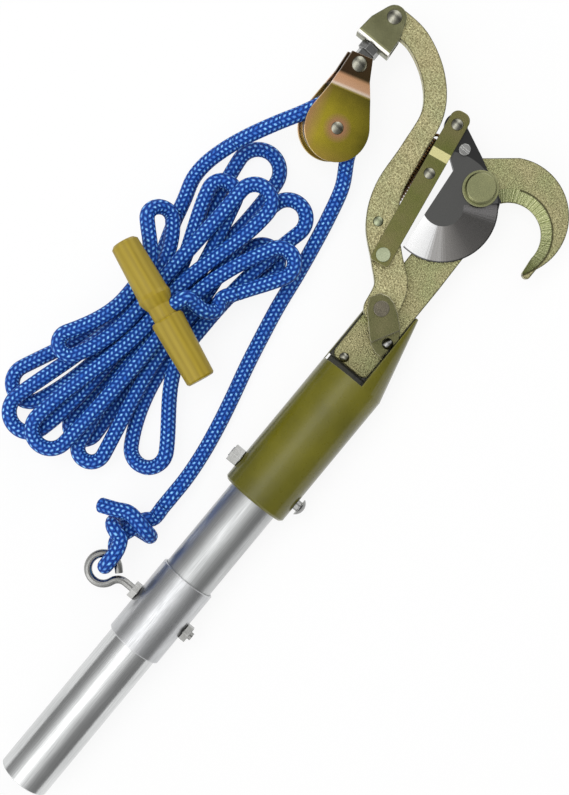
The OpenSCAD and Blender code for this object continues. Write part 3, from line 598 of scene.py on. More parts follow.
@dataclass(frozen=True)
class PaintFinish(Finish):
    """Gloss paint on a casting: a faint orange peel, a painted highlight along the edges and painted shade in the
    hollows.
    """

    color: Color
    shade: Color
    edge: Color
    # The near-black colour is painted shade in the hollows.
    hollow_shade: Color
    shade_reach: float = 0.008

    def lay(self, graph: Graph, effects: Effects) -> Values:
        """Lays out the paint's nodes.

        Args:
            graph: the material's graph.
            effects: the shared shader groups.

        Returns:
            The shader's inputs.
        """
        grain = graph.group(effects.grain, {"Per Metre": 420.0, "Broad Per Metre": 30.0})
        edges = graph.group(effects.edges, {"Radius": 0.0012})
        tint = graph.blend(grain["Broad"], self.color, self.shade)
        # Painted highlight along the edges.
        tint = graph.blend(graph.times(edges["Edge Shading"], 0.35), tint, self.edge)
        # Painted shade in the hollows, from ambient occlusion.
        open_share = graph.add("AmbientOcclusion", {"Distance": self.shade_reach}, samples=6).outputs["AO"]
        return {
            "Base Color": graph.blend(graph.spread(open_share, 0.25, 0.8, 0.9, 0.0), tint, self.hollow_shade),
            "Roughness": graph.spread(grain["Fine"], 0.0, 1.0, 0.34, 0.26),
            "Normal": graph.bump(0.12, 0.0004, grain["Fine"], edges["Normal"]),
            "Specular IOR Level": 0.25,
            "Coat Weight": 0.4,
            "Coat Roughness": 0.1,
        }


@dataclass(frozen=True)
class RopeFinish(Finish):
    """Solid braid of a bright synthetic yarn, with painted shade between the stitches and a painted highlight on
    their crowns.
    """

    # The darkest colour is painted shade between the stitches, and the last a painted highlight on their crowns.
    crevice_shade: Color
    yarn: Color
    crown_glint: Color

    def lay(self, graph: Graph, effects: Effects) -> Values:
        """Lays out the braid's nodes.

        Args:
            graph: the material's graph.
            effects: the shared shader groups.

        Returns:
            The shader's inputs.
        """
        braid = graph.group(effects.braid)
        height = braid["Height"]
        # Painted shade in the crevices between stitches.
        tint = graph.blend(graph.math("POWER", height, 1.6), self.crevice_shade, self.yarn)
        return {
            # Painted highlight on the stitches' crowns.
            "Base Color": graph.blend(graph.times(braid["Crown Glint"], 0.9), tint, self.crown_glint),
            "Roughness": graph.spread(height, 0.0, 1.0, 0.75, 0.42),
            "Normal": graph.bump(0.9, 0.0008, height),
            "Specular IOR Level": 0.3,
        }


@dataclass(frozen=True)
class WoodFinish(Finish):
    """Varnished turned wood, with its grain along the handle."""

    pale: Color
    dark: Color
    turn: float
    stretch: Point = (0.06, 1.0, 1.0)

    def lay(self, graph: Graph, effects: Effects) -> Values:
        """Lays out the wood's nodes.

        Args:
            graph: the material's graph.
            effects: the shared shader groups.

        Returns:
            The shader's inputs.
        """
        values = {"Vector": graph.add("TexCoord").outputs["Object"], "Angle": -self.turn}
        turned = graph.add("VectorRotate", values, rotation_type="Z_AXIS").outputs[0]
        drawn = graph.vector("MULTIPLY", turned, self.stretch)[0]
        fibre = graph.add("TexNoise", {"Vector": drawn, "Scale": 650.0, "Detail": 5.0}).outputs[0]
        wave = {"Vector": drawn, "Scale": 90.0, "Distortion": 3.0, "Detail": 2.0}
        rings = graph.add("TexWave", wave, bands_direction="Y").outputs["Fac"]
        vein = graph.math("ADD", graph.times(fibre, 0.6), graph.times(rings, 0.4))
        return {
            "Base Color": graph.blend(graph.spread(vein, 0.3, 0.75), self.pale, self.dark),
            "Roughness": graph.spread(fibre, 0.3, 0.7, 0.36, 0.5),
            "Normal": graph.bump(0.12, 0.0003, fibre),
            "Specular IOR Level": 0.3,
            "Coat Weight": 0.12,
            "Coat Roughness": 0.25,
        }


def grey(level: float) -> Color:
    """Returns a neutral colour."""
    return (level, level, level)


BRIGHT_TUBE = MetalFinish(
    "bright_tube", (0.76, 0.77, 0.77), (0.68, 0.69, 0.69), grey(0.9),
    smooth=0.12, rough=0.26, per_metre=2600.0, along_pole=0.02, broad=30.0, bump=0.05,
)
SATIN_TUBE = MetalFinish(
    "satin_tube", (0.66, 0.67, 0.67), (0.58, 0.59, 0.59), grey(0.8),
    smooth=0.30, rough=0.44, per_metre=2600.0, along_pole=0.02, broad=30.0, bump=0.06,
)
SLEEVE = MetalFinish(
    "turned_sleeve", (0.68, 0.69, 0.70), (0.58, 0.59, 0.60), grey(0.9),
    smooth=0.26, rough=0.38, per_metre=2200.0, along_pole=0.05, broad=30.0, bump=0.05,
)
ZINC = MetalFinish(
    "bright_zinc", (0.36, 0.36, 0.35), (0.26, 0.26, 0.25), (0.8, 0.8, 0.78), smooth=0.10, rough=0.24
)
FORGED = ForgedFinish(
    "plated_forging", (0.72, 0.655, 0.37), (0.61, 0.62, 0.34), per_metre=1050.0, pit=(0.205, 0.175, 0.078)
)
HOOK = HookFinish(
    "plated_hook", (0.61, 0.565, 0.315), (0.52, 0.55, 0.28), per_metre=1150.0, pit=(0.20, 0.18, 0.08)
)
# The strap's bend colour is a painted highlight on its sloping faces.
STRAP = MetalFinish(
    "plated_strap", (0.145, 0.155, 0.045), (0.185, 0.170, 0.07), (0.60, 0.56, 0.38),
    smooth=0.20, rough=0.36, per_metre=1800.0, broad=60.0, bump=0.15, bend=(0.40, 0.375, 0.18),
)
BRIDGE = MetalFinish(
    "plated_bridge", (0.125, 0.125, 0.055), (0.165, 0.155, 0.075), (0.72, 0.68, 0.50),
    smooth=0.24, rough=0.4, bump=0.2, edge_radius=0.0008, edge_shading=0.9,
)
# The clevis's bend colour is a painted highlight on its sloping faces.
CLEVIS = MetalFinish(
    "plated_clevis", (0.22, 0.22, 0.12), (0.155, 0.155, 0.08), (0.7, 0.68, 0.6),
    smooth=0.12, rough=0.27, broad=70.0, bump=0.2, bend=(0.62, 0.61, 0.56),
)
RIVET = MetalFinish(
    "plated_rivet", (0.40, 0.39, 0.32), (0.31, 0.305, 0.25), (0.6, 0.58, 0.5),
    smooth=0.12, rough=0.26, broad=150.0, bump=0.15,
)
AGED = MetalFinish(
    "aged_bolt", (0.17, 0.15, 0.11), (0.11, 0.10, 0.075), (0.4, 0.37, 0.3),
    smooth=0.2, rough=0.36, broad=150.0, bump=0.15,
)
PIVOT = MetalFinish(
    "satin_pivot", (0.31, 0.315, 0.16), (0.26, 0.27, 0.14), (0.45, 0.43, 0.28), smooth=0.24, rough=0.38
)
# Its dark edge colour is painted shade round the rivet.
PALE_RIVET = MetalFinish(
    "pale_rivet", (0.46, 0.50, 0.33), (0.38, 0.42, 0.27), (0.10, 0.10, 0.06), smooth=0.24, rough=0.4, broad=150.0
)
SPRING = MetalFinish(
    "spring_wire", (0.20, 0.115, 0.05), (0.12, 0.065, 0.03), (0.3, 0.2, 0.12), smooth=0.24, rough=0.42, broad=150.0
)
SHEAVE = MetalFinish(
    "turned_sheave", (0.36, 0.36, 0.34), (0.27, 0.27, 0.25), (0.6, 0.6, 0.58), smooth=0.24, rough=0.42
)
CHEEK = DichromateFinish(
    "dichromate_cheek",
    stops=(
        (0.0, (0.11, 0.065, 0.035)),
        (0.20, (0.085, 0.05, 0.028)),
        (0.23, (0.66, 0.36, 0.20)),
        (0.30, (0.72, 0.42, 0.26)),
        # A painted highlight: the near-white band across the cheeks.
        (0.325, (0.95, 0.78, 0.64)),
        (0.345, (0.30, 0.235, 0.035)),
        (0.55, (0.68, 0.55, 0.05)),
        (0.85, (0.76, 0.60, 0.06)),
        (1.0, (0.70, 0.47, 0.10)),
    ),
    shade=(0.125, 0.115, 0.02),
    rose=(0.72, 0.36, 0.22),
    edge=(0.80, 0.62, 0.45),
)
BLADE = BladeFinish(
    "blade_steel",
    flat=(0.10, 0.10, 0.097),
    sectors=(
        (0.0, grey(0.66)),
        (0.22, grey(0.66)),
        (0.27, (0.30, 0.29, 0.28)),
        (0.33, (0.40, 0.39, 0.38)),
        (0.37, (0.24, 0.23, 0.22)),
        (0.60, (0.13, 0.125, 0.12)),
        (0.86, (0.15, 0.145, 0.14)),
        (0.93, (0.36, 0.35, 0.35)),
        (1.0, (0.28, 0.27, 0.27)),
    ),
)
PAINT = PaintFinish(
    "olive_paint",
    color=(0.140, 0.128, 0.009),
    shade=(0.100, 0.093, 0.007),
    edge=(0.24, 0.23, 0.08),
    # The near-black colour is painted shade in the hollows.
    hollow_shade=(0.006, 0.006, 0.002),
)
# The rope's darkest colour is painted shade and its palest a painted highlight.
ROPE = RopeFinish("braided_rope", crevice_shade=(0.003, 0.031, 0.235), yarn=(0.008, 0.118, 0.56), crown_glint=(0.30, 0.68, 1.0))
WOOD = WoodFinish("varnished_wood", pale=(0.345, 0.252, 0.017), dark=(0.275, 0.195, 0.010), turn=HANDLE_TURN)


def unit(vector: np.ndarray) -> np.ndarray:
    """Returns a vector's direction."""
    return vector / np.linalg.norm(vector)


def along_line(line: np.ndarray) -> np.ndarray:
    """Returns how far along a line each of its points lies."""
    return np.concatenate([[0.0], np.cumsum(np.linalg.norm(np.diff(line, axis=0), axis=1))])


def bow(points: np.ndarray, step: float) -> np.ndarray:
    """Draws a smooth line through points and marks it off in even steps.

    Args:
        points: the points, in order.
        step: the distance between two marks, in the points' own unit.

    Returns:
        The marks, from the first point to the last.
    """
    chord = np.linalg.norm(np.diff(points, axis=0), axis=1)
    at = np.concatenate([[0.0], np.cumsum(np.sqrt(chord))])
    slope = np.gradient(points, at, axis=0)
    t = np.linspace(0.0, 1.0, BOW_POINTS, endpoint=False)[:, None]
    dense = []
    for i, span in enumerate(np.diff(at)):
        dense.append(
            (2 * t**3 - 3 * t**2 + 1) * points[i]
            + (t**3 - 2 * t**2 + t) * span * slope[i]
            + (3 * t**2 - 2 * t**3) * points[i + 1]
            + (t**3 - t**2) * span * slope[i + 1]
        )
    line = np.vstack(dense + [points[-1:]])
    along = along_line(line)
    marks = np.linspace(0.0, along[-1], max(2, round(along[-1] / step) + 1))
    return np.stack([np.interp(marks, along, line[:, k]) for k in range(3)], axis=1)


def hermite(p: np.ndarray, u: np.ndarray, q: np.ndarray, v: np.ndarray, share: float) -> np.ndarray:
    """Places a point on a smooth bend.

    Args:
        p: where it starts.
        u: its heading there.
        q: where it ends.
        v: its heading there.
        share: how much of the way is behind.

    Returns:
        The point.
    """
    f, g, n = share, 1.0 - share, np.linalg.norm(q - p)
    return g * g * (1 + 2 * f) * p + f * g * g * n * u + f * f * (3 - 2 * f) * q - f * f * g * n * v


def sweep(name: str, line: np.ndarray, radius: float, sides: int, round_end: bool = False) -> Thing:
    """Sweeps a round section along a line.

    Args:
        name: the new piece's name.
        line: the centre line, in metres.
        radius: the section's radius, in metres.
        sides: points round the section.
        round_end: whether the last end is rounded over.

    Returns:
        The new piece, with coordinates along (in centimetres) and around it.
    """
    tangent = np.gradient(line, axis=0)
    tangent /= np.linalg.norm(tangent, axis=1)[:, None]
    centres, radii, headings = list(line), [radius] * len(line), list(tangent)
    for turn in np.radians(TIP_TURNS) if round_end else ():
        centres.append(line[-1] + tangent[-1] * radius * TIP_BULGE * math.sin(turn))
        radii.append(radius * math.cos(turn))
        headings.append(tangent[-1])
    side = UP if abs(tangent[0][2]) < 0.9 else np.array([1.0, 0.0, 0.0])
    angles = np.linspace(0.0, 2 * math.pi, sides, endpoint=False)
    verts = []
    for centre, reach, heading in zip(centres, radii, headings):
        side = unit(side - heading * side.dot(heading))
        cross = np.cross(heading, side)
        verts += [tuple(centre + reach * (math.cos(a) * side + math.sin(a) * cross)) for a in angles]
    rings = len(centres)
    faces = [
        (i * sides + j, i * sides + (j + 1) % sides, (i + 1) * sides + (j + 1) % sides, (i + 1) * sides + j)
        for i in range(rings - 1)
        for j in range(sides)
    ]
    faces.append(tuple(range(sides - 1, -1, -1)))
    faces.append(tuple(range((rings - 1) * sides, rings * sides)))
    mesh = bpy.data.meshes.new(name)
    mesh.from_pydata(verts, [], faces)
    along = along_line(np.array(centres)) * UV_PER_METRE
    layer = mesh.uv_layers.new(name="lay")
    for polygon in list(mesh.polygons)[: (rings - 1) * sides]:
        ring, j = divmod(polygon.index, sides)
        corners = ((ring, j), (ring, j + 1), (ring + 1, j + 1), (ring + 1, j))
        for loop, (r, a) in zip(polygon.loop_indices, corners):
            layer.data[loop].uv = (along[r], a / sides)
        polygon.use_smooth = True
    return show(name, mesh)


def show(name: str, data: bpy.types.ID) -> Thing:
    """Puts a mesh, lamp or camera into the scene.

    Args:
        name: the new object's name.
        data: what it shows.

    Returns:
        The new object.
    """
    thing = bpy.data.objects.new(name, data)
    bpy.context.scene.collection.objects.link(thing)
    return thing


Finishes = tuple[tuple[Finish, tuple[str, ...]], ...]


@dataclass
class Assembly:
    """A part of the tool that shows the CAD's own pieces, with the finish of each."""

    finishes: Finishes

    def dress(self, effects: Effects) -> None:
        """Gives each piece its finish.

        Args:
            effects: the shared shader groups.
        """
        for finish, nodes in self.finishes:
            material = finish.build(effects)
            for node in nodes:
                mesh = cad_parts[node].data
                mesh.materials.clear()
                mesh.materials.append(material)
                LOG.info("dressed %s in %s", node, finish.name)


@dataclass
class Studio:
    """The camera straight above the tool, the pale floor and soft light. Places in millimetres."""

    aim: Place = (-23.9, 267.3)
    height: float = 740.0
    turn: float = math.radians(39.6)
    lens: float = 57.4
    sensor: float = 36.0
    far: float = 50.0
    floor_z: float = -21.1
    floor_half: float = 3000.0
    floor_grey: float = 0.86
    floor_glow: float = 0.88
    sky_strength: float = 2.0
    bands: tuple[tuple[float, float], ...] = (
        (0.0, 0.13), (0.10, 0.22), (0.22, 0.48), (0.35, 1.00), (0.49, 1.00),
        (0.57, 0.58), (0.72, 0.38), (0.83, 0.18), (0.95, 0.13), (1.0, 0.13),
    )
    levels: tuple[tuple[float, float], ...] = (
        (0.20, 1.00), (0.50, 0.94), (0.56, 0.80), (0.63, 0.40), (0.72, 0.38), (0.82, 0.60), (0.88, 0.95),
    )

    def camera(self) -> None:
        """Makes the camera and the scene's view settings."""
        data = bpy.data.cameras.new("camera")
        data.lens = self.lens
        data.sensor_width = self.sensor
        data.clip_end = self.far
        eye = show("camera", data)
        eye.location = (self.aim[0] * MM, self.aim[1] * MM, self.height * MM)
        eye.rotation_euler = (0.0, 0.0, self.turn)
        bpy.context.scene.camera = eye
        bpy.context.scene.view_settings.view_transform = "Standard"

    def floor(self) -> None:
        """Makes the floor, which keeps the tool's shadow and shows white elsewhere."""
        half, z = self.floor_half * MM, self.floor_z * MM
        mesh = bpy.data.meshes.new("floor")
        corners = [(x * half, y * half, z) for x, y in ((-1, -1), (1, -1), (1, 1), (-1, 1))]
        mesh.from_pydata(corners, [], [(0, 1, 2, 3)])
        show("floor", mesh)
        material, graph, shader = new_material("pale_floor")
        graph.feed(shader, {"Base Color": (*grey(self.floor_grey), 1.0), "Roughness": 0.9})
        ray = graph.add("LightPath").outputs
        seen = graph.math("MAXIMUM", ray["Is Camera Ray"], ray["Is Glossy Ray"])
        seen = graph.math("MAXIMUM", seen, ray["Is Transmission Ray"])
        white = graph.add("Emission", {"Color": (1.0, 1.0, 1.0, 1.0), "Strength": 1.0})
        share = graph.times(seen, self.floor_glow)
        mix = graph.add("MixShader", {0: share, 1: shader.outputs[0], 2: white.outputs[0]})
        graph.feed(graph.tree.nodes["Material Output"], {"Surface": mix.outputs[0]})
        mesh.materials.append(material)

    def lights(self) -> None:
        """Makes the soft boxes, which only shade, and the bright strip overhead that metal mirrors."""
        self._box("key", offset=(-0.30, 0.0, 1.05), size=0.6, power=3.0)
        self._box("fill", offset=(0.65, 0.35, 0.85), size=0.5, power=0.5)
        self._box("crown", offset=(-0.2, 1.0, 0.9), size=0.5, power=0.5)
        world = bpy.data.worlds.new("studio")
        world.use_nodes = True
        graph = Graph(world.node_tree)
        way = graph.add("SeparateXYZ", {0: graph.add("TexCoord").outputs["Generated"]}).outputs
        bands, levels = (
            graph.ramp(graph.spread(way[axis], -1.0, 1.0), [(at, grey(level)) for at, level in stops])
            for axis, stops in enumerate((self.bands, self.levels))
        )
        sky = {"Color": bands, "Strength": graph.times(levels, self.sky_strength)}
        graph.feed(world.node_tree.nodes["Background"], sky)
        bpy.context.scene.world = world

    def _box(self, name: str, offset: Point, size: float, power: float) -> None:
        """Makes one square lamp that faces the tool.

        Args:
            name: the lamp's name.
            offset: its place from the floor's aim point, in metres.
            size: its side, in metres.
            power: its power, in watts.
        """
        data = bpy.data.lights.new(name, "AREA")
        data.size = size
        data.energy = power
        lamp = show(name, data)
        lamp.visible_glossy = False
        lamp.location = tuple(np.array([self.aim[0] * MM, self.aim[1] * MM, 0.0]) + np.array(offset))
        way = -unit(np.array(offset))
        lamp.rotation_euler = (math.acos(-way[2]), 0.0, math.atan2(way[1], way[0]) - math.pi / 2)


@dataclass(frozen=True)
class Loop:
    """One loop of the hank: its slots and layers at the waist, its lean, reach and radius."""

    slot_in: int
    slot_out: int
    layer_in: int
    layer_out: int
    lean: float
    reach: float
    radius: float


HANK_LOOPS = (
    Loop(1, 2, 0, 0, -23, 92, 11), Loop(2, 3, 0, 0, -7, 100, 13), Loop(3, 4, 0, 0, 3, 84, 8.5),
    Loop(4, 5, 0, 0, 22, 64, 10), Loop(5, 5, 0, 1, 32, 82, 11), Loop(5, 4, 1, 1, 13, 90, 11),
    Loop(4, 3, 1, 1, 11, 92, 8), Loop(3, 2, 1, 1, -14, 76, 8.5), Loop(2, 1, 1, 1, -14, 100, 12),
    Loop(1, 1, 1, 2, -43, 54, 7), Loop(1, 2, 2, 2, -31, 58, 7), Loop(2, 3, 2, 2, 0, 82, 10),
    Loop(3, 4, 2, 2, -4, 96, 11), Loop(4, 5, 2, 2, 28, 72, 9),
)


@dataclass
class Rope:
    """The pull rope: knot, fall, turn over the sheave, lead, hank and wrap. Sizes in millimetres."""

    diameter: float = 9.0
    gap: float = 0.3
    butt: float = 0.1
    floor_z: float = -21.025
    sheave_radius: float = 15.5
    turn_from: float = -8.0
    turn_to: float = 135.0
    turn_points: int = 40
    eye: Place = (-41.82, 123.0)
    eye_radius: float = 8.9
    eye_rod: float = 4.8
    knot_stand: Place = (-45.5, -5.5)
    knot_lean: float = 0.25
    knot_top: Point = (-38.0, 172.0, -8.5)
    knot_first: float = 12.0
    knot_room: float = 1.2
    knot_rise: float = 4.5
    knot_tail: float = -58.0
    fall_route: tuple[Point, ...] = (
        (-77, 385, -8), (-72, 367, -11.5), (-68, 347.5, -14), (-64.5, 327.5, -16), (-61.5, 307, -16.4),
        (-57.5, 287, -16.4), (-53, 267, -16.4), (-48, 248, -16.4), (-43.5, 229, -16), (-40, 210, -14),
        (-38.2, 193, -11),
    )
    fall_splits: tuple[float, float] = (376.0, 392.0)
    fall_follow: float = 0.83
    lead_route: tuple[Point, ...] = (
        (-128.5, 387, 6.5), (-137, 372, 1.5), (-144, 358, -6), (-148.5, 344, -12.5), (-149, 333, -16),
    )
    lead_splits: tuple[float, float] = (390.0, 365.0)
    lead_follow: float = 1.4
    wrap_route: tuple[Point, ...] = ((-3.0, -16.0, 2.0), (-8.0, -20.5, 7.5), (-15.0, -20.5, 11.5))
    wrap_depth: float = 4.0
    hank_centre: Place = (-110.0, 262.0)
    hank_slots: int = 5
    hank_waist: float = 8.0
    hank_from: Place = (-33.0, 50.0)
    hank_from_turn: float = 14.0
    loops: tuple[Loop, ...] = HANK_LOOPS
    sides: int = 16
    step: float = 1.4

    @property
    def pitch(self) -> float:
        """The distance between neighbouring loops."""
        return self.diameter + 0.9

    @property
    def layer(self) -> float:
        """The height of one layer of loops."""
        return self.diameter + 0.6

    @staticmethod
    def _in_block(x: float, y: float) -> np.ndarray:
        """Places a direction of the pulley block's own plane in the tool's frame.

        Args:
            x: across the block.
            y: along the block, from the axle to its rivet.

        Returns:
            The direction.
        """
        swing, swivel = math.radians(BLOCK_SWING), math.radians(BLOCK_SWIVEL)
        across = x * math.cos(swing) - y * math.sin(swing)
        up = x * math.sin(swing) + y * math.cos(swing)
        return np.array([across * math.cos(swivel), up, -across * math.sin(swivel)])

    def _on_sheave(self, angle: float) -> np.ndarray:
        """Returns the point of the rope over the sheave at an angle."""
        r, a = self.sheave_radius, math.radians(angle)
        return np.array(BLOCK_PIN) + self._in_block(r * math.cos(a), r * math.sin(a) - BLOCK_LEN)

    def _heading(self, angle: float) -> np.ndarray:
        """Returns the rope's heading away from the sheave's top, on the fall's side, at an angle."""
        a = math.radians(angle)
        return self._in_block(math.sin(a), -math.cos(a))

    def fall_line(self) -> np.ndarray:
        """Routes the rope from the knot up to the sheave.

        Returns:
            The points, from the knot.
        """
        start, out = self._on_sheave(self.turn_from), self._heading(self.turn_from)
        top, up = np.array(self.knot_top), np.array([0.0, 1.0, 0.0])
        route = [start + self.butt * out, start + self.diameter * out, *self.fall_route]
        route += [top + self.diameter * up, top + self.butt * up]
        return np.array(route, dtype=float)[::-1]

    def lead_line(self) -> np.ndarray:
        """Routes the rope from the sheave down to the hank.

        Returns:
            The points, from the sheave.
        """
        start, out = self._on_sheave(self.turn_to), -self._heading(self.turn_to)
        hank = self.hank_line(12)
        into = unit(hank[1] - hank[0])
        route = [start + self.butt * out, start + 1.6 * self.diameter * out, *self.lead_route]
        route += [hank[0] - self.diameter * into, hank[0] - self.butt * into]
        return np.array(route, dtype=float)

    def knot_line(self) -> np.ndarray:
        """Routes the knot: through the eye, up in front, and a turn round itself.

        Returns:
            The points, from the fall.
        """
        top = self.eye[1] + self.eye_radius
        bend = self.eye_rod / 2 + self.diameter / 2 + self.gap
        wind, rise = self.diameter + self.knot_room, self.diameter + self.knot_rise
        first, lift = top + self.knot_first, self.knot_stand[1]
        last, front = first + rise, lift + wind

        def stand(y: float) -> float:
            """Returns where the standing rope is at a height."""
            return self.knot_stand[0] + self.knot_lean * (y - first)

        start = np.array(self.knot_top)
        rows = [start, start - [0.0, self.diameter, 0.0]]
        rows += [(stand(y), y, lift) for y in (top + 27.0, top + 20.0, top + 8.0)]
        for a in np.radians(-90.0 - 22.5 * np.arange(9)):
            rows.append((self.eye[0], top + bend * math.cos(a), bend * math.sin(a)))
        rows.append((self.eye[0] - 0.5, top + 6.0, bend - 0.6))
        for k in range(25):
            a, y = math.radians(90.0 + 15.0 * k), first + rise * k / 24
            rows.append((stand(y) + wind * math.cos(a), y, lift + wind * math.sin(a)))
        rows.append((stand(last) - 9.0, last + 0.8, front))
        rows.append((self.knot_tail, last - 2.5, front))
        rows.append((self.knot_tail - 0.9 * self.diameter, last - 6.0, front))
        return np.array(rows, dtype=float)

    def _slot(self, slot: int, layer: int) -> float:
        """Returns how far to the right a slot lies at the waist; layers are staggered by half a pitch."""
        return (slot - (self.hank_slots + 1) / 2 + (0.25 if layer % 2 else -0.25)) * self.pitch

    def _level(self, layer: float) -> float:
        """Returns the height of a layer's rope centre."""
        return self.floor_z + self.diameter / 2 + self.layer * layer

    def _loop_points(self, loop: Loop, above: bool, steps: int, leg_back: float) -> list[np.ndarray]:
        """Places one loop's leg out, half circle and leg back.

        Args:
            loop: the loop.
            above: whether it lies above the waist.
            steps: points in a leg and in the half circle.
            leg_back: how much of the leg back there is.

        Returns:
            The points, about the hank's middle.
        """
        end = 1.0 if above else -1.0
        lean = math.radians(loop.lean)
        hand = math.copysign(1.0, loop.slot_out - loop.slot_in or loop.slot_in - self.hank_slots / 2)
        u = np.array([math.sin(lean), end * math.cos(lean)])
        w = hand * np.array([math.cos(lean), -end * math.sin(lean)])
        centre, out = loop.reach * u, np.array([0.0, end])
        first = np.array([self._slot(loop.slot_in, loop.layer_in), end * self.hank_waist])
        last = np.array([self._slot(loop.slot_out, loop.layer_out), end * self.hank_waist])
        low, high = self._level(loop.layer_in), self._level(loop.layer_out)
        rows = [[*hermite(first, out, centre - loop.radius * w, u, k / steps), low] for k in range(steps)]
        for k in range(steps + 1):
            a, share = math.pi * k / steps, k / steps
            lift = share * share * (3.0 - 2.0 * share)
            rows.append([*(centre + loop.radius * (math.sin(a) * u - math.cos(a) * w)), low + (high - low) * lift])
        for k in range(1, round(steps * leg_back) + 1):
            rows.append([*hermite(centre + loop.radius * w, -u, last, -out, k / steps), high])
        return [np.array(row) for row in rows]

    def hank_line(self, steps: int = 16) -> np.ndarray:
        """Routes the hank.

        Args:
            steps: points in each leg and each half circle.

        Returns:
            The points, from the end that meets the lead.
        """
        turn = math.radians(self.hank_from_turn)
        waist = np.array([self._slot(1, 0), self.hank_waist])
        into, down = np.array([math.sin(turn), -math.cos(turn)]), np.array([0.0, -1.0])
        first = np.array(self.hank_from)
        rows = [np.array([*hermite(first, into, waist, down, k / steps), self._level(0)]) for k in range(steps + 1)]
        for number, loop in enumerate(self.loops, 1):
            leg_back = 0.5 if number == len(self.loops) else 1.0
            rows += self._loop_points(loop, number % 2 == 0, steps, leg_back)
        return np.array(rows) + np.array([*self.hank_centre, 0.0])

    def wrap_line(self, handle: "Handle") -> np.ndarray:
        """Routes the rope from the hank's last leg, over its side and into the handle.

        Args:
            handle: the handle on the rope's end.

        Returns:
            The points, from the hank.
        """
        before, end = self.hank_line()[-2:]
        out = unit(end - before)
        into = np.array([math.sin(-handle.turn), math.cos(-handle.turn), 0.0])
        last = np.array(handle.centre(self)) + (handle.waist_radius - self.wrap_depth) * into
        rows = [end + self.butt * out, end + self.diameter * out]
        rows += [end + np.array(offset) for offset in self.wrap_route]
        rows += [last + 12.0 * into, last + 6.0 * into, last]
        return np.array(rows)

    def build(self, material: Material, handle: "Handle") -> None:
        """Makes every piece of the rope, and hangs each piece that lies on one body from that body.

        Args:
            material: the rope's finish.
            handle: the handle on the rope's end.
        """
        fall, lead, knot, hank, wrap = (
            bow(line, self.step)
            for line in (
                self.fall_line(), self.lead_line(), self.knot_line(), self.hank_line(), self.wrap_line(handle)
            )
        )
        turn = np.array([self._on_sheave(a) for a in np.linspace(self.turn_from, self.turn_to, self.turn_points)])
        low, mid = (int(np.argmax(fall[:, 1] > y)) for y in self.fall_splits)
        over, down = (int(np.argmax(lead[:, 1] < y)) for y in self.lead_splits)
        # Each piece has its centre line, its CAD node and the bodies at its start and end.
        pieces = {
            "fall_low": (fall[: low + 1], "rope_fall", (Body.POLE, Body.HANK)),
            "fall_mid": (fall[low : mid + 1], "rope_fall", (Body.YOKE, Body.STUD)),
            "fall_top": (fall[mid:], "rope_fall", (Body.STUD, Body.BLOCK)),
            "lead_top": (lead[: over + 1], "rope_lead", (Body.BLOCK, Body.STUD)),
            "lead_mid": (lead[over : down + 1], "rope_lead", (Body.STUD, Body.YOKE)),
            "lead_low": (lead[down:], "rope_lead", (Body.HANK, Body.HANK)),
            "eye_knot": (knot, "rope_knot", (Body.POLE, Body.POLE)),
            "sheave_turn": (turn, "rope_turn", (Body.BLOCK, Body.BLOCK)),
            "hank_loops": (hank, "rope_hank", (Body.HANK, Body.HANK)),
            "handle_wrap": (wrap, "rope_wrap", (Body.HANK, Body.HANK)),
        }
        lines = {name: line * MM for name, (line, _, _) in pieces.items()}
        for name, (_, node, (a, b)) in pieces.items():
            line = lines[name]
            piece = sweep(name, line, self.diameter / 2 * MM, self.sides, round_end=name == "eye_knot")
            piece.data.materials.append(material)
            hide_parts(node)
            if a == b:
                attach(piece, a.value)
            else:
                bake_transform(piece)
            LOG.info("made %s, %.0f mm long", name, along_line(line)[-1] / MM)


@dataclass
class Handle(Assembly):
    """The turned handle across the hank's waist. Sizes in millimetres."""

    finishes: Finishes = ((WOOD, ("rope_handle",)),)
    place: Place = (-109.0, 261.0)
    turn: float = HANDLE_TURN
    waist_radius: float = 7.4
    radius: float = 10.0

    def centre(self, rope: Rope) -> Point:
        """Returns the handle's middle, resting on the hank."""
        top = rope.floor_z + rope.diameter + 2 * rope.layer
        return (*self.place, top + rope.gap + self.radius)


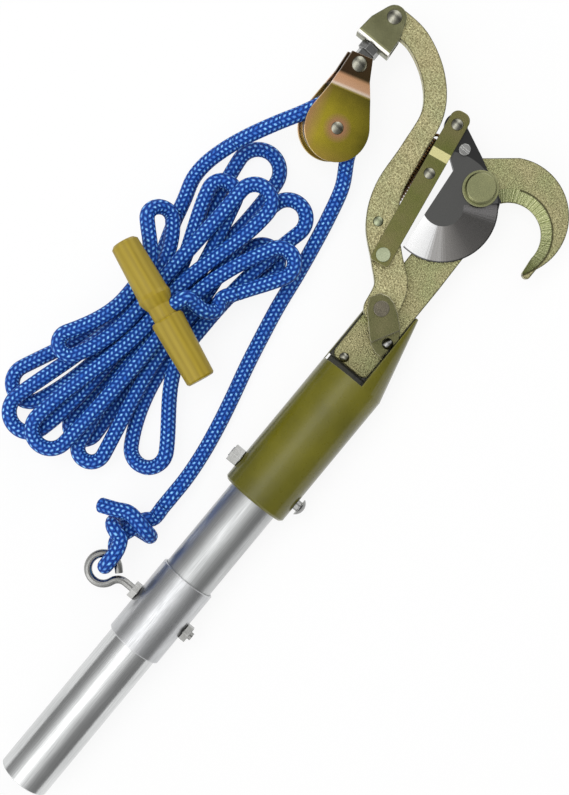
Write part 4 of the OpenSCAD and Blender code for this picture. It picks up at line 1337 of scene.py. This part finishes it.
@dataclass
class ReturnSpring:
    """The coil between the lever and the link, behind the lever. Sizes in millimetres."""

    low: Place = (-47.0, 380.0)
    coil_low: Place = (-46.5, 387.0)
    coil_high: Place = (-52.5, 440.0)
    wire: float = 1.8
    radius: float = 2.6
    curls: int = 28
    curl_points: int = 20
    end_lead: float = 1.5
    hook_reach: float = 2.5
    post_radius: float = 1.8
    gap: float = 0.3
    lever_back: float = 2.8
    link_low: Place = (-32.5, 366.5)
    link_high: Place = (-47.5, 452.0)
    post_share: float = 0.62
    sides: int = 8
    step: float = 0.5

    def build(self, material: Material) -> None:
        """Makes the spring.

        Args:
            material: its wire's finish.
        """
        link_low, link_high = np.array(self.link_low), np.array(self.link_high)
        far = link_low + self.post_share * (link_high - link_low)
        z = self.lever_back - self.gap - self.radius - self.wire / 2
        lever_post, link_post, base, tip = (
            np.array([*place, z]) for place in (self.low, far, self.coil_low, self.coil_high)
        )
        u = unit(tip - base)
        v = np.array([-u[1], u[0], 0.0])
        clear = self.post_radius + self.gap + self.wire / 2
        back = tip + self.end_lead * u - (self.radius + self.hook_reach) * v
        steps = self.curl_points * self.curls
        rows = [lever_post + clear * unit(base - lever_post), base - self.end_lead * u]
        for k in range(steps + 1):
            a = 2 * math.pi * k * self.curls / steps
            rows.append(base + (tip - base) * k / steps + self.radius * (math.cos(a) * v + math.sin(a) * UP))
        rows += [tip + self.hook_reach * u, back, link_post + clear * unit(back - link_post)]
        line = bow(np.array(rows), self.step) * MM
        spring = sweep("return_coil", line, self.wire / 2 * MM, self.sides)
        spring.data.materials.append(material)
        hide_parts("return_spring")
        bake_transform(spring)
        LOG.info("made return_coil")


@dataclass
class Pole(Assembly):
    """The tubes, their sleeve and the adapter."""

    finishes: Finishes = (
        (BRIGHT_TUBE, ("lower_tube",)),
        (SATIN_TUBE, ("upper_tube",)),
        (SLEEVE, ("joint_sleeve",)),
        (PAINT, ("head_adapter",)),
    )


@dataclass
class CuttingHead(Assembly):
    """The hook jaw, blade, lever and link, and the whole tool's fasteners."""

    finishes: Finishes = (
        (FORGED, ("pull_lever",)),
        (HOOK, ("hook_plate",)),
        (PIVOT, ("blade_pivot_bolt", "blade_pivot_washer")),
        (PALE_RIVET, ("spring_rivet", "lever_end_rivet")),
        (AGED, ("lever_pivot_bolt",)),
        (STRAP, ("link_strap",)),
        (BRIDGE, ("pivot_bridge",)),
        (BLADE, ("blade",)),
        (ZINC, (
            "eye_hook_bolt", "eye_jam_nut", "eye_end_nut", "adapter_bolt", "adapter_nut", "bridge_screw",
            "lever_pivot_nut", "blade_pivot_nut", "blade_screw", "swivel_stud", "stud_nut",
        )),
        (RIVET, ("tail_rivet", "blade_end_rivet", "spring_post", "clevis_rivet", "block_rivet", "sheave_axle")),
    )


@dataclass
class PulleyBlock(Assembly):
    """The clevis, cheeks and sheave."""

    finishes: Finishes = (
        (CLEVIS, ("clevis",)),
        (CHEEK, ("front_cheek", "rear_cheek")),
        (SHEAVE, ("sheave",)),
    )


def main() -> None:
    """Builds the studio and every sub-assembly, and notes the sizes."""
    logging.basicConfig(level=logging.INFO)
    studio = Studio()
    studio.camera()
    effects = Effects()
    handle = Handle()
    Rope().build(ROPE.build(effects), handle)
    ReturnSpring().build(SPRING.build(effects))
    for assembly in (Pole(), CuttingHead(), PulleyBlock(), handle):
        assembly.dress(effects)
    studio.floor()
    studio.lights()


if __name__ == "__main__":
    main()
